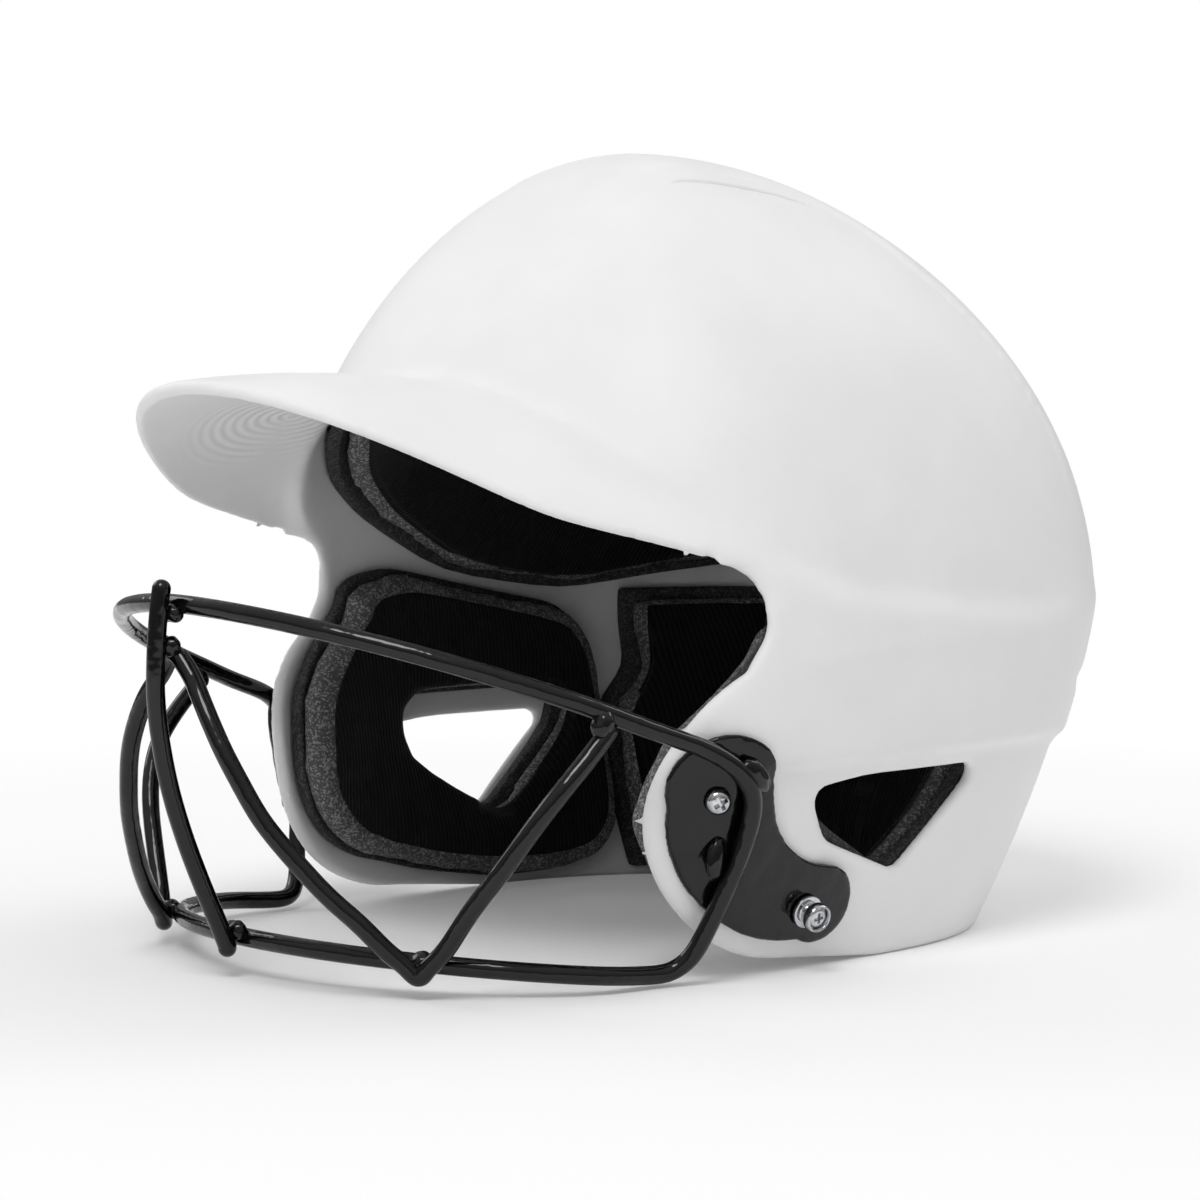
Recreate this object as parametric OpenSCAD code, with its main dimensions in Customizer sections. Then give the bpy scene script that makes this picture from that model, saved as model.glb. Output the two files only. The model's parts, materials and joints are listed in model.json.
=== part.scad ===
// Softball batting helmet with a wire face guard.
// Millimetres, +Z up. The face looks along -Y and the wearer's left is +X.
// Sizes along the helmet are measured from the face line, midway between the ear flaps.
// The finished helmet is then centred, so the origin is on the floor under its middle.

/* [Shell] */
// Outer width across the widest part of the shell
shell_w = 216; // [200:1:232]
// From the widest section forward to the forehead, at the widest level
shell_front = 93; // [86:1:100]
// From the widest section back to the nape side, at the widest level
shell_rear = 152; // [140:1:162]
// Distance of the widest section behind the face line
shell_mid_y = 57; // [50:1:64]
// Height of the crown above the floor
shell_h = 230; // [215:1:245]
// Height at which the shell is widest
belt_z = 98; // [88:1:106]
// Wall of the moulded shell
shell_wall = 4; // [3:0.5:6]
// How far the ear flaps tuck in at the floor on each side
side_tuck = 17; // [8:1:22]
// How far the nape tucks forward at the floor
nape_tuck = 44; // [30:1:52]
// How far the lower belt stands proud of the dome
belt_step = 3; // [1.5:0.5:4.5]

/* [Brim] */
// Distance of the brim tip in front of the face line
brim_reach = 97; // [84:1:102]
// Width of the brim where it meets the temples
brim_w = 204; // [196:1:210]
// Height of the brim tip
brim_tip_z = 165; // [158:1:169]
// Thickness of the brim
brim_t = 4; // [3:0.5:5]

/* [Ear flap] */
// Length of the rounded ear flap in front of its centre
flap_r = 47; // [42:1:50]
// Half height of the rounded ear flap
flap_half_h = 44; // [40:1:46]
// Distance of the flap's centre behind the face line
flap_y = 38; // [34:1:42]
// Radius of the notch between brim and flap
notch_r = 11.5; // [9:0.5:13]
// Distance of the notch's centre behind the face line
notch_y = 9; // [6:1:12]
// Height of the notch's centre
notch_z = 99; // [95:1:101]
// Front tip of the ear opening behind the face line
ear_front_y = 40; // [38:1:44]
// Rear corner of the ear opening behind the face line
ear_rear_y = 103; // [96:1:108]
// Height of the top edge of the ear opening
ear_top_z = 54.5; // [50:0.5:58]
// Depth of the ear opening down to its lower corner
ear_depth = 28.5; // [22:0.5:32]

/* [Guard] */
// Diameter of the guard wire
wire_d = 5.2; // [4:0.2:6]
// Inset of the upper hoop's corners from the widest part of the shell, on each side
hoop_top_inset = 11; // [8:0.5:15]
// Reach of the upper hoop in front of the face line
hoop_top_reach = 102; // [96:0.5:108]
// Height of the upper hoop at the front
hoop_top_z = 104; // [98:1:112]
// Rise of the upper hoop for each millimetre forward
hoop_top_rise = 0.38; // [0.3:0.02:0.44]
// Width of the lower hoop at its corners
hoop_low_w = 182; // [174:1:188]
// Reach of the lower hoop in front of the face line
hoop_low_reach = 81.5; // [76:0.5:87]
// Rise of the lower hoop from its corners to the front
hoop_low_rise = 8.5; // [5:0.5:12]

/* [Ear plate] */
// Thickness of the steel ear plate
plate_t = 2.5; // [2:0.25:3.5]
// Distance of the upper screw behind the face line
screw_y = 6; // [4:0.5:8]
// Height of the upper screw
screw_z = 51.5; // [47:0.5:54]
// Distance of the chin strap stud behind the face line
stud_y = 39.5; // [37.5:0.5:41]
// Height of the chin strap stud
stud_z = 18.5; // [17:0.5:20]
// Diameter of the screw threads
screw_d = 4.2; // [3:0.1:5]
// Diameter of the pan head
screw_head_d = 7.4; // [6.5:0.1:9]
// Diameter of the stud's flange
stud_flange_d = 9.6; // [8.5:0.1:11]
// Diameter of the stud's hollow head
stud_head_d = 8.2; // [7.6:0.1:9]
// Height of the stud over the plate
stud_h = 6.4; // [5:0.1:8]

/* [Padding] */
// Thickness of the firm foam against the shell
foam_t = 4.2; // [3:0.2:6]
// Thickness of the soft foam at the edge of a pad
pad_edge_t = 6; // [5:0.5:9]
// Extra thickness of the soft foam at its crown
pad_crown = 4; // [2:0.5:6]
// Thickness of the fabric on a pad's face
fabric_t = 1.2; // [0.8:0.1:2]
// Inset of the padding from the edge of the ear flap
pad_inset = 4; // [2:0.5:6]

/* [Clearances] */
// Seat gap between curved pieces that touch
seat_gap = 0.3; // [0.2:0.05:0.4]
// Gap between crossing wires that a weld bead fills
weld_gap = 0.3; // [0.2:0.05:0.5]
// Gap between the moulded wall and the firm foam
lining_gap = 0.6; // [0.4:0.1:0.9]
// Clearance of a screw in its hole, on the diameter
hole_clear = 0.4; // [0.2:0.1:0.8]

/* [Hidden] */
SIDES = ["left", "right"];
shell_color = "whitesmoke";
foam_color = "dimgray";
fabric_color = "#17171a";
wire_color = "#101012";
chrome_color = "silver";
half_w = shell_w / 2;
front_power = 2.4;
rear_power = 2.6;
width_dome = 2;
rear_dome = 1.78;
front_dome = 1.7;
nape_power = 1.25;
wire_r = wire_d / 2;
flap_lift = 3.5;
flap_rim = 37;
flap_z = flap_half_h + flap_lift;
far_out = 400;
tiny = 0.01;
// Middle of the helmet's length, from the bulge of the centre bar to the nape side
wire_pitch = wire_d + weld_gap;
bar_bulge = 1.5;
middle_y = (shell_mid_y + shell_rear - hoop_top_reach - wire_pitch - bar_bulge - wire_r) / 2;
module centred() {
    translate([0, -middle_y, 0]) children();
}

// Upper edge of the belt round the helmet, by turn from the front
ledge_side_z = belt_z + 3.5;
ledge_drop = 63;
ledge_turn = 115;
ledge_rear_rise = 9;
ledge_band = 10;
function ledge_z(turn) = let (t = abs(turn)) t < ledge_turn
    ? ledge_side_z + ledge_drop * (1 + cos(t * 180 / ledge_turn)) / 2
    : ledge_side_z + ledge_rear_rise * (1 - cos((t - ledge_turn) * 180 / (180 - ledge_turn))) / 2;
function ease(t) = t <= 0 ? 0 : t >= 1 ? 1 : t * t * (3 - 2 * t);
// How far the skin stands off its mean surface: dome and ear recess in, belt out
recess_band = 4;
function recess_z(turn) = ear_top_z + 6.5 - 4 * ease((abs(turn) - 110) / 40);
function recess_depth(turn) = belt_step * ease((abs(turn) - 68) / 12);
// The inside of the wall follows in longer slopes
inner_slope = 30;
function stand_off(turn, z, inner = false) = let (
    ledge_length = inner ? inner_slope : ledge_band,
    recess_length = inner ? inner_slope : recess_band,
    ledge_low = ledge_z(turn) - (ledge_band + ledge_length) / 2,
    recess_low = recess_z(turn) - recess_band)
    belt_step * (ease((ledge_low + ledge_length - z) / ledge_length) - 0.5)
    * (1 - 0.8 * ease((abs(turn) - 100) / 50))
    - belt_step * 0.5 * ease((ear_top_z + 18 - z) / 30) * (1 - ease((abs(turn) - 68) / 12))
    - recess_depth(turn) * ease((recess_low + recess_length - z) / recess_length);

// Scale of the dome's sections above the belt, and depth below it
function dome_scale(z, top, power) =
    pow(max(1 - pow(max(z - belt_z, 0) / (top - belt_z), power), 0), 1 / power);
function below(z) = max(belt_z - z, 0) / belt_z;
function half_width(z, grow) = (half_w + grow) * dome_scale(z, shell_h + grow, width_dome)
    - side_tuck * pow(below(z), 2);
function rear_len(z, grow) = (shell_rear + grow) * dome_scale(z, shell_h + grow, rear_dome)
    - nape_tuck * pow(below(z), nape_power);
function front_len(z, grow) = (shell_front + grow) * dome_scale(z, shell_h + grow, front_dome);
function reach_at(y, z, grow) = y > shell_mid_y ? rear_len(z, grow) : front_len(z, grow);
function front_power_at(z) = front_power + 0.4 * ease((belt_z - z) / 30);
function power_at(y, z) = y > shell_mid_y ? rear_power : front_power_at(z);
function turn_at(y, z) = let (c = pow(min(abs(y - shell_mid_y) / reach_at(y, z, 0), 1), power_at(y, z) / 2))
    y > shell_mid_y ? 180 - acos(c) : acos(c);
// Half width of the mean surface at a place seen from the side, and of the skin there
function mean_x(y, z, grow) = let (n = power_at(y, z))
    half_width(z, grow) * pow(max(1 - pow(abs(y - shell_mid_y) / reach_at(y, z, grow), n), 0), 1 / n);
function side_x(y, z, grow) = mean_x(y, z, grow) + stand_off(turn_at(y, z), z, grow < 0);
// Point of the skin at a turn from the front (0) over the side (90) to the back (180)
function ring_point(turn, z, grow) = let (
    rear = abs(turn) > 90,
    n = rear ? rear_power : front_power_at(z),
    reach = rear ? rear_len(z, grow) : front_len(z, grow),
    s = sin(turn), c = cos(turn), off = stand_off(turn, z, grow < 0))
    [half_width(z, grow) * sign(s) * pow(abs(s), 2 / n) + off * s,
        shell_mid_y - reach * sign(c) * pow(abs(c), 2 / n) - off * c, z];
function normal_at(y, z) = let (
    d = 0.5,
    dy = (mean_x(y + d, z, 0) - mean_x(y - d, z, 0)) / (2 * d),
    dz = (mean_x(y, z + d, 0) - mean_x(y, z - d, 0)) / (2 * d),
    v = [1, -dy, -dz])
    v / norm(v);

// Closed mesh from a grid of points: rows join end to end when wrap is true
function grid_faces(rows, cols, wrap, start) = [for (r = [0:rows - 2], c = [0:cols - (wrap ? 1 : 2)])
    let (d = (c + 1) % cols, a = start + r * cols + c, b = start + r * cols + d,
        e = start + (r + 1) * cols + d, f = start + (r + 1) * cols + c)
    each [[a, b, e], [a, e, f]]];
module ring_solid(rings) {
    rows = len(rings);
    cols = len(rings[0]);
    points = [for (ring = rings) each ring];
    bottom = len(points);
    ends = [for (c = [0:cols - 1]) let (d = (c + 1) % cols)
        each [[bottom, d, c], [bottom + 1, (rows - 1) * cols + c, (rows - 1) * cols + d]]];
    middle = function (ring) [for (k = [0:2]) [for (p = ring) p[k]] * [for (p = ring) 1] / len(ring)];
    polyhedron(concat(points, [middle(rings[0]), middle(rings[rows - 1])]),
        concat(grid_faces(rows, cols, true, 0), ends), convexity = 8);
}
module loop_solid(rings) {
    rows = len(rings);
    cols = len(rings[0]);
    points = [for (ring = rings) each ring];
    faces = [for (r = [0:rows - 1], c = [0:cols - 1])
        let (s = (r + 1) % rows, d = (c + 1) % cols)
        each [[r * cols + c, r * cols + d, s * cols + d], [r * cols + c, s * cols + d, s * cols + c]]];
    polyhedron(points, faces, convexity = 10);
}
// Slab between two grids of points with the same rows and columns
module slab_solid(low, high) {
    rows = len(low);
    cols = len(low[0]);
    count = rows * cols;
    points = concat([for (row = low) each row], [for (row = high) each row]);
    under = grid_faces(rows, cols, false, 0);
    over = [for (f = grid_faces(rows, cols, false, count)) [f[2], f[1], f[0]]];
    rim = concat([for (c = [0:cols - 1]) c], [for (r = [1:rows - 1]) r * cols + cols - 1],
        [for (c = [cols - 2:-1:0]) (rows - 1) * cols + c], [for (r = [rows - 2:-1:1]) r * cols]);
    wall = [for (k = [0:len(rim) - 1]) let (a = rim[k], b = rim[(k + 1) % len(rim)])
        each [[a, a + count, b + count], [a, b + count, b]]];
    polyhedron(points, concat(under, over, wall), convexity = 8);
}
// The same with rows that close into a ring
module band_solid(low, high) {
    rows = len(low);
    cols = len(low[0]);
    count = rows * cols;
    last = cols - 1;
    points = concat([for (row = low) each row], [for (row = high) each row]);
    under = [for (r = [0:rows - 1], c = [0:cols - 2]) let (a = r * cols + c, f = ((r + 1) % rows) * cols + c)
        each [[a, a + 1, f + 1], [a, f + 1, f]]];
    over = [for (f = under) [f[2] + count, f[1] + count, f[0] + count]];
    wall = [for (r = [0:rows - 1]) let (a = r * cols, b = ((r + 1) % rows) * cols)
        each [[b, b + count, a + count], [b, a + count, a],
            [a + last, a + last + count, b + last + count], [a + last, b + last + count, b + last]]];
    polyhedron(points, concat(under, over, wall), convexity = 8);
}

// Smooth route through a list of points
function spline_at(p, i, t) = let (
    n = len(p), a = p[max(i - 1, 0)], b = p[i], c = p[min(i + 1, n - 1)], d = p[min(i + 2, n - 1)])
    0.5 * (2 * b + (c - a) * t + (2 * a - 5 * b + 4 * c - d) * t * t + (3 * b - a - 3 * c + d) * t * t * t);
function spline(p, steps) = concat([for (i = [0:len(p) - 2], k = [0:steps - 1]) spline_at(p, i, k / steps)],
    [p[len(p) - 1]]);
function unit(v) = v / norm(v);
function flip_x(p) = [-p[0], p[1], p[2]];
function back_half(p) = [for (i = [len(p) - 2:-1:1]) flip_x(p[i])];
// Circle of points square to the route
function wire_ring(p, before, after, up, r) = let (
    t = unit(after - before), u = unit(cross(t, up)), v = cross(u, t))
    [for (a = [0:45:315]) p + r * (cos(a) * u + sin(a) * v)];
FACE_MID = [0, 10, 50];
module open_wire(route, r) {
    n = len(route);
    ring_solid([for (i = [0:n - 1])
        wire_ring(route[i], route[max(i - 1, 0)], route[min(i + 1, n - 1)], route[i] - FACE_MID, r)]);
}
module closed_wire(route, r) {
    n = len(route);
    loop_solid([for (i = [0:n - 1])
        wire_ring(route[i], route[(i + n - 1) % n], route[(i + 1) % n], route[i] - FACE_MID, r)]);
}

// Shell

skin_cols = 56;
low_rows = 4;
wall_rows = 3;
band_rows = 3;
dome_rows = 11;
// Heights of one column of the skin, from the floor over the belt to the crown
function column_z(turn, top, floor_z) = let (
    low = recess_z(turn) - recess_band, lo = ledge_z(turn) - ledge_band, hi = ledge_z(turn),
    first = asin((hi - belt_z) / (top - belt_z)))
    concat([for (k = [0:low_rows - 1]) floor_z + (low - floor_z) * k / low_rows],
        [low],
        [for (k = [0:wall_rows - 1]) recess_z(turn) + (lo - recess_z(turn)) * k / wall_rows],
        [for (k = [0:band_rows - 1]) lo + (hi - lo) * k / band_rows],
        [for (k = [0:dome_rows - 1])
            belt_z + (top - belt_z) * sin(first + (90 - first) * k / dome_rows)]);
module skin(grow, floor_z) {
    turns = [for (c = [0:skin_cols - 1]) 180 - 360 * c / skin_cols];
    heights = [for (t = turns) column_z(t, shell_h + grow, floor_z)];
    ring_solid(concat([for (r = [0:len(heights[0]) - 1]) [for (c = [0:skin_cols - 1])
            ring_point(turns[c], heights[c][r], grow)]],
        [[for (t = turns) [tiny * sin(t), shell_mid_y - tiny * cos(t), shell_h + grow]]]));
}
module along_x(half) {
    rotate([90, 0, 90]) linear_extrude(2 * half, center = true) children();
}
// The rounded flap seen from the side, inset from its edge
module flap_outline(inset) {
    translate([flap_y, flap_z]) scale([1, (flap_half_h - inset) / (flap_r - inset)])
        circle(flap_r - inset, $fn = 80);
}
function notch_at(a) = [notch_y + notch_r * cos(a), notch_z + notch_r * sin(a)];
module notch_outline() {
    translate([notch_y, notch_z]) circle(notch_r, $fn = 48);
}
// Room for the face, seen from the side: under the brim, the notch, in front of the flap
module face_outline() {
    difference() {
        union() {
            polygon(concat([[-far_out, -far_out], [-far_out, ledge_z(0) - brim_t]],
                [for (turn = [0:6:66]) let (p = ring_point(turn, ledge_z(turn), 0))
                    [p[1], p[2] - brim_t - 3 - 8 * ease((turn - 20) / 46)]],
                [notch_at(35), notch_at(-35), [notch_y + 6, notch_z - notch_r - 0.4],
                [notch_y + 3, flap_z + flap_half_h * 0.78], [notch_y + 3, flap_z], [flap_y, flap_z],
                [flap_y, flap_lift], [flap_y + flap_rim, 0], [flap_y + flap_rim, -far_out]]));
            notch_outline();
        }
        flap_outline(0);
    }
}
module ear_outline(inset) {
    tip_r = 4;
    corner_r = 3;
    low_y = ear_front_y + (ear_rear_y - ear_front_y) * 0.56;
    offset(delta = -inset) hull() {
        translate([ear_front_y + tip_r, ear_top_z - 6]) circle(tip_r, $fn = 24);
        translate([ear_front_y + 20, ear_top_z - 8]) circle(8, $fn = 24);
        translate([ear_front_y + 10.5, ear_top_z - 12]) circle(7, $fn = 24);
        translate([ear_rear_y - corner_r, ear_top_z - corner_r]) circle(corner_r, $fn = 24);
        translate([low_y, ear_top_z - ear_depth + corner_r]) circle(corner_r, $fn = 24);
    }
}
// Brim: a slab from the ledge out to an elliptic edge
brim_steps = 30;
brim_slope = 0.45;
brim_bend = 0.2;
function brim_edge_z(y) = let (knee = y + 45, tip = 45 - brim_reach)
    brim_tip_z - brim_slope * (knee - tip)
    + sqrt(pow(brim_bend * knee, 2) + 4) - sqrt(pow(brim_bend * tip, 2) + 4);
function brim_root(s) = let (turn = 70 * s) ring_point(turn, ledge_z(turn) - 1.5, -shell_wall * 0.7);
function brim_edge(s) = let (
    a = 90 * s,
    y = 20 - (brim_reach + 20) * cos(a))
    [brim_w / 2 * sin(a), y, brim_edge_z(y) - 5 * pow(abs(s), 12)];
function brim_point(s, v) = let (
    side = s < 0 ? -1 : 1,
    p = brim_root(abs(s)), q = brim_edge(abs(s)),
    lift = 5 * (1 - pow(abs(s), 4)),
    r = p + (q - p) * v + [0, 0, lift * v * (1 - v) * 2 - lift * v * 0.2])
    [side * r[0], r[1], r[2]];
module brim() {
    top = [for (v = [0, 0.15, 0.35, 0.55, 0.75, 0.9, 1]) [for (k = [0:brim_steps])
        brim_point(-1 + 2 * k / brim_steps, v)]];
    low = [for (row = top) [for (p = row) p - [0, 0, brim_t]]];
    slab_solid(top, low);
}
// Narrow vent beside the raised centre panel of the crown
module vents() {
    for (side = [-1, 1]) for (k = [0:3])
        translate([side * (37 + 2.4 * k), 50 + 11 * k, 0]) rotate([0, 0, side * -12])
            translate([-0.9, -7, shell_h - 40]) cube([1.8, 14, 60]);
}
module at_side(side) {
    if (side == "left") children();
    else mirror([1, 0, 0]) children();
}
// Frame on the shell's skin with Z along the outward normal
module on_skin(y, z) {
    n = normal_at(y, z);
    translate([side_x(y, z, 0), y, z])
        rotate([0, acos(n[2]), atan2(n[1], n[0])]) children();
}
module screw_hole(y, z, d) {
    on_skin(y, z) cylinder(h = 60, d = d, center = true, $fn = 48);
}
module shell() {
    color(shell_color) difference() {
        union() {
            difference() {
                skin(0, 0);
                skin(-shell_wall, -5);
                along_x(far_out) face_outline();
            }
            difference() {
                brim();
                skin(-shell_wall, -5);
                along_x(far_out) notch_outline();
            }
        }
        along_x(far_out) ear_outline(0);
        for (side = SIDES) at_side(side) {
            screw_hole(screw_y, screw_z, screw_d + hole_clear);
            screw_hole(stud_y, stud_z, screw_d + hole_clear);
        }
        vents();
    }
}

// Padding

foam_in = -shell_wall - lining_gap;
pad_in = foam_in - foam_t - seat_gap;
edge_share = 0.8;
// Face of the soft foam at a share of its width and height, lower at the very edge
function on_edge(u) = u == 0 || u == 1;
function pad_face(u, v) = pad_in - pad_edge_t * (on_edge(u) || on_edge(v) ? edge_share : 1)
    - pad_crown * (1 - pow(abs(2 * u - 1), 4)) * (1 - pow(abs(2 * v - 1), 4));
// Both sides of a layer over that face: 0 firm foam, 1 soft foam, 2 fabric
function layer_low(layer, face) = layer == 0 ? foam_in : layer == 1 ? pad_in : face - seat_gap;
function layer_top(layer, face) =
    layer == 0 ? foam_in - foam_t : layer == 1 ? face : face - seat_gap - fabric_t;
// The soft layers are drawn in a little at their edges
function draw_in(u, layer, edge) = layer == 0 || !on_edge(u) ? u : u == 0 ? edge / 2 : 1 - edge / 2;
// Cells across a pad, denser at both edges
function cells(n, edge) = concat([0, edge], [for (k = [1:n - 1]) k / n], [1 - edge, 1]);
// Layer of a pad over a grid of places, given by spot(u, v, depth)
module layer_solid(layer, us, vs, spot) {
    place = function (u, v, depth) spot(draw_in(u, layer, us[1]), draw_in(v, layer, vs[1]), depth);
    slab_solid([for (v = vs) [for (u = us) place(u, v, layer_top(layer, pad_face(u, v)))]],
        [for (v = vs) [for (u = us) place(u, v, layer_low(layer, pad_face(u, v)))]]);
}
// Pad on the wall between two turns; low and high give its edges by turn
module wall_pad(layer, turns, us, vs, low, high) {
    layer_solid(layer, us, vs, function (u, v, depth) let (
        turn = turns[0] + (turns[1] - turns[0]) * u,
        z = low(turn) + (high(turn) - low(turn)) * v)
        ring_point(turn, z, depth));
}
// Headband pad: from temple to temple over the brow
band_turn = 138;
band_h = 24;
band_rise = 22;
function band_low(turn) = ledge_z(turn) + 2 - 12 * ease((abs(turn) - 80) / 18)
    + 7 * ease((abs(turn) - 100) / 30);
module brow_layer(layer) {
    wall_pad(layer, [-band_turn, band_turn], cells(18, 0.01), cells(4, 0.06),
        function (turn) band_low(turn),
        function (turn) band_low(turn) + band_h + band_rise * ease(abs(turn) / 90));
}
// Crown pad: a rounded cap under the top of the dome
crown_drop = 0.1;
crown_steps = 24;
module crown_layer(layer) {
    spot = function (k, a, depth)
        ring_point(a, belt_z + (shell_h + depth - belt_z) * (1 - crown_drop * k * k), depth);
    face = function (k) pad_face(k == 1 ? 1 : 0.5 + k / 2, 0.5);
    top = function (k) layer_top(layer, face(k));
    low = function (k) layer_low(layer, face(k));
    ring = function (k, depth) [for (c = [0:crown_steps - 1]) spot(k, 180 - 360 * c / crown_steps, depth)];
    rim = layer == 0 ? 1 : 0.98;
    inner_rings = [0.2, 0.45, 0.7, 0.9];
    ring_solid(concat([for (k = inner_rings) ring(k, top(k))],
        [ring(rim, top(1)), ring(rim, low(1))],
        [for (i = [len(inner_rings) - 1:-1:0]) ring(inner_rings[i], low(inner_rings[i]))]));
}
// Ear pad: a broad ring round the ear opening, from the flap's edge to behind the ear
pad_mid = [(ear_front_y + ear_rear_y) / 2 + 3, ear_top_z - ear_depth * 0.36];
pad_rear_y = 121;
pad_low_z = 10.5;
pad_roof_z = notch_z + 5;
ear_steps = 32;
ear_low = [ear_front_y + (ear_rear_y - ear_front_y) * 0.56, ear_top_z - ear_depth];
// Straight side of the opening as [normal, distance from the pad's middle]
function side_line(p, q) = let (n = unit([p[1] - q[1], q[0] - p[0]])) [n, n * (p - pad_mid)];
OPEN_SIDES = [side_line([ear_front_y, ear_top_z + 8], [ear_rear_y, ear_top_z + 8]),
    side_line([ear_rear_y + 3, ear_top_z], [ear_rear_y + 3, ear_top_z - 4]),
    side_line([ear_rear_y + 1.5, ear_top_z - 4], ear_low + [1.5, 0]),
    side_line(ear_low - [0, 1], [ear_front_y, ear_top_z - 9]),
    side_line([ear_front_y + 1, ear_top_z - 8], [ear_front_y + 1, ear_top_z])];
open_round = 10;
function ear_pad_inner(a) = let (
    d = [cos(a), sin(a)],
    pull = [for (e = OPEN_SIDES) pow(max(e[0] * d, 0) / e[1], open_round)])
    pad_mid + d * pow(pull * [for (e = OPEN_SIDES) 1], -1 / open_round);
// How far forward the padding may reach at a height: the flap's edge, then the notch
function pad_front(z) = z < flap_z + flap_half_h * 0.86
    ? flap_y - (flap_r - pad_inset) * sqrt(max(1 - pow((z - flap_z) / (flap_half_h - pad_inset
        - (z < flap_z ? 4 : 0)), 2), 0))
    : notch_y + sqrt(max(pow(notch_r + pad_inset, 2) - pow(z - notch_z, 2), 0));
function ear_pad_outer(a) = let (
    front = pad_mid[0] - (flap_y - flap_r) - pad_inset,
    square = cos(a) < 0 ? 0.62 : sin(a) < 0 ? 0.5 : 0.36,
    y = pad_mid[0] + (cos(a) < 0 ? front : pad_rear_y - pad_mid[0]) * sign(cos(a)) * pow(abs(cos(a)), square),
    roof = min(band_low(turn_at(y, belt_z)) - 2, pad_roof_z),
    low_z = pad_low_z - (pad_low_z - rear_low) * ease((y - flap_y + 8) / 35),
    z = pad_mid[1] + (sin(a) < 0 ? pad_mid[1] - low_z : roof - pad_mid[1])
        * sign(sin(a)) * pow(abs(sin(a)), square))
    [max(y, pad_front(z)), z];
module ear_layer(layer) {
    ws = [0, 0.1, 0.5, 0.9, 1];
    turns = [for (k = [0:ear_steps - 1]) 360 * k / ear_steps];
    place = function (a, w, depth) let (
        p = ear_pad_inner(a), q = ear_pad_outer(a),
        spot = p + (q - p) * draw_in(w, layer, 0.04))
        [side_x(spot[0], spot[1], depth), spot[0], spot[1]];
    band_solid([for (a = turns) [for (w = ws) place(a, w, layer_top(layer, pad_face(w, 0.5)))]],
        [for (a = turns) [for (w = ws) place(a, w, layer_low(layer, pad_face(w, 0.5)))]]);
}
// Pads on the wall behind the ears: their front edge stands behind the ear pad's rear edge
// and leaves a wider gap above the ear
rear_low = 3.5;
rear_turn = 148;
rear_gap = 2;
rear_gap_turn = 6;
function rear_first(z, depth) = let (
    reach = rear_len(z, depth) + stand_off(120, z, true),
    c = pow((pad_rear_y + rear_gap - shell_mid_y) / reach, rear_power / 2))
    180 - acos(c) + rear_gap_turn * ease((z - ear_top_z - 4) / 8);
module rear_layer(layer) {
    top = band_low(band_turn) - 8;
    layer_solid(layer, cells(6, 0.04), cells(7, 0.05), function (u, v, depth) let (
        z = rear_low + (top - rear_low) * v,
        first = rear_first(z, depth))
        ring_point(first + (rear_turn - first) * u, z, depth));
}
// Nape pad between them
module nape_layer(layer) {
    wall_pad(layer, [151, 209], cells(6, 0.04), cells(6, 0.04),
        function (turn) rear_low, function (turn) band_low(band_turn) + 34);
}
module pad_color(layer) {
    color(layer == 2 ? fabric_color : foam_color) children();
}

// Guard

// Upper and lower hoops by turn from the front
hoop_square = 1.09;
hoop_top_w = shell_w - 2 * hoop_top_inset;
function hoop_top(turn) = let (
    s = sin(turn), c = cos(turn),
    y = -18 - (hoop_top_reach - 18) * sign(c) * pow(abs(c), hoop_square))
    [hoop_top_w / 2 * sign(s) * pow(abs(s), hoop_square), y,
        hoop_top_z - hoop_top_rise * (y + hoop_top_reach)];
function hoop_low(turn) = let (y = -hoop_low_reach * cos(turn))
    [hoop_low_w / 2 * sin(turn), y, wire_r - hoop_low_rise * y / hoop_low_reach];
// A route on the guard's face, by turn and by height from the lower hoop (0) to the upper (1)
function guard_point(turn, t, out) = let (p = hoop_low(turn), q = hoop_top(turn))
    p + (q - p) * t + out * unit([sin(turn), -cos(turn), 0]);
// Side stretch of the loop, standing on the ear plate: distance back and height
side_slant = 1.1;
function side_run(y, z, spare = 0) =
    [side_x(y, z, 0) + seat_gap + plate_t + (weld_gap + wire_r) * side_slant + spare, y, z];
SIDE_ROUTE = [[-2.8, 66.5], [4.3, 62.3], [9.9, 57], [12.6, 51], [12.7, 44], [10.9, 35.5]];
LOOP_HALF = concat([for (turn = [0:12:72]) hoop_top(turn)], [hoop_top(82), hoop_top(82) + [3.2, 12.6, -5]],
    [for (q = SIDE_ROUTE) side_run(q[0], q[1])],
    [side_run(8.8, 28, 0.2), side_run(6.1, 19, 0.2), side_run(4.1, 12, 0.2),
        [hoop_low_w / 2 + 0.3, 1.8, 7.2], [hoop_low_w / 2 - 2.6, -2.6, wire_r + 1.2],
        [hoop_low_w / 2 - 4, -11, wire_r + 1.2]],
    [for (turn = [72, 60, 48, 36, 24, 12, 0]) hoop_low(turn)]);
wire_steps = 2;
LOOP_LINE = spline(LOOP_HALF, wire_steps);
module guard_loop_wire() {
    color(wire_color) closed_wire(concat(LOOP_LINE, back_half(LOOP_LINE)), wire_r);
}
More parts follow.
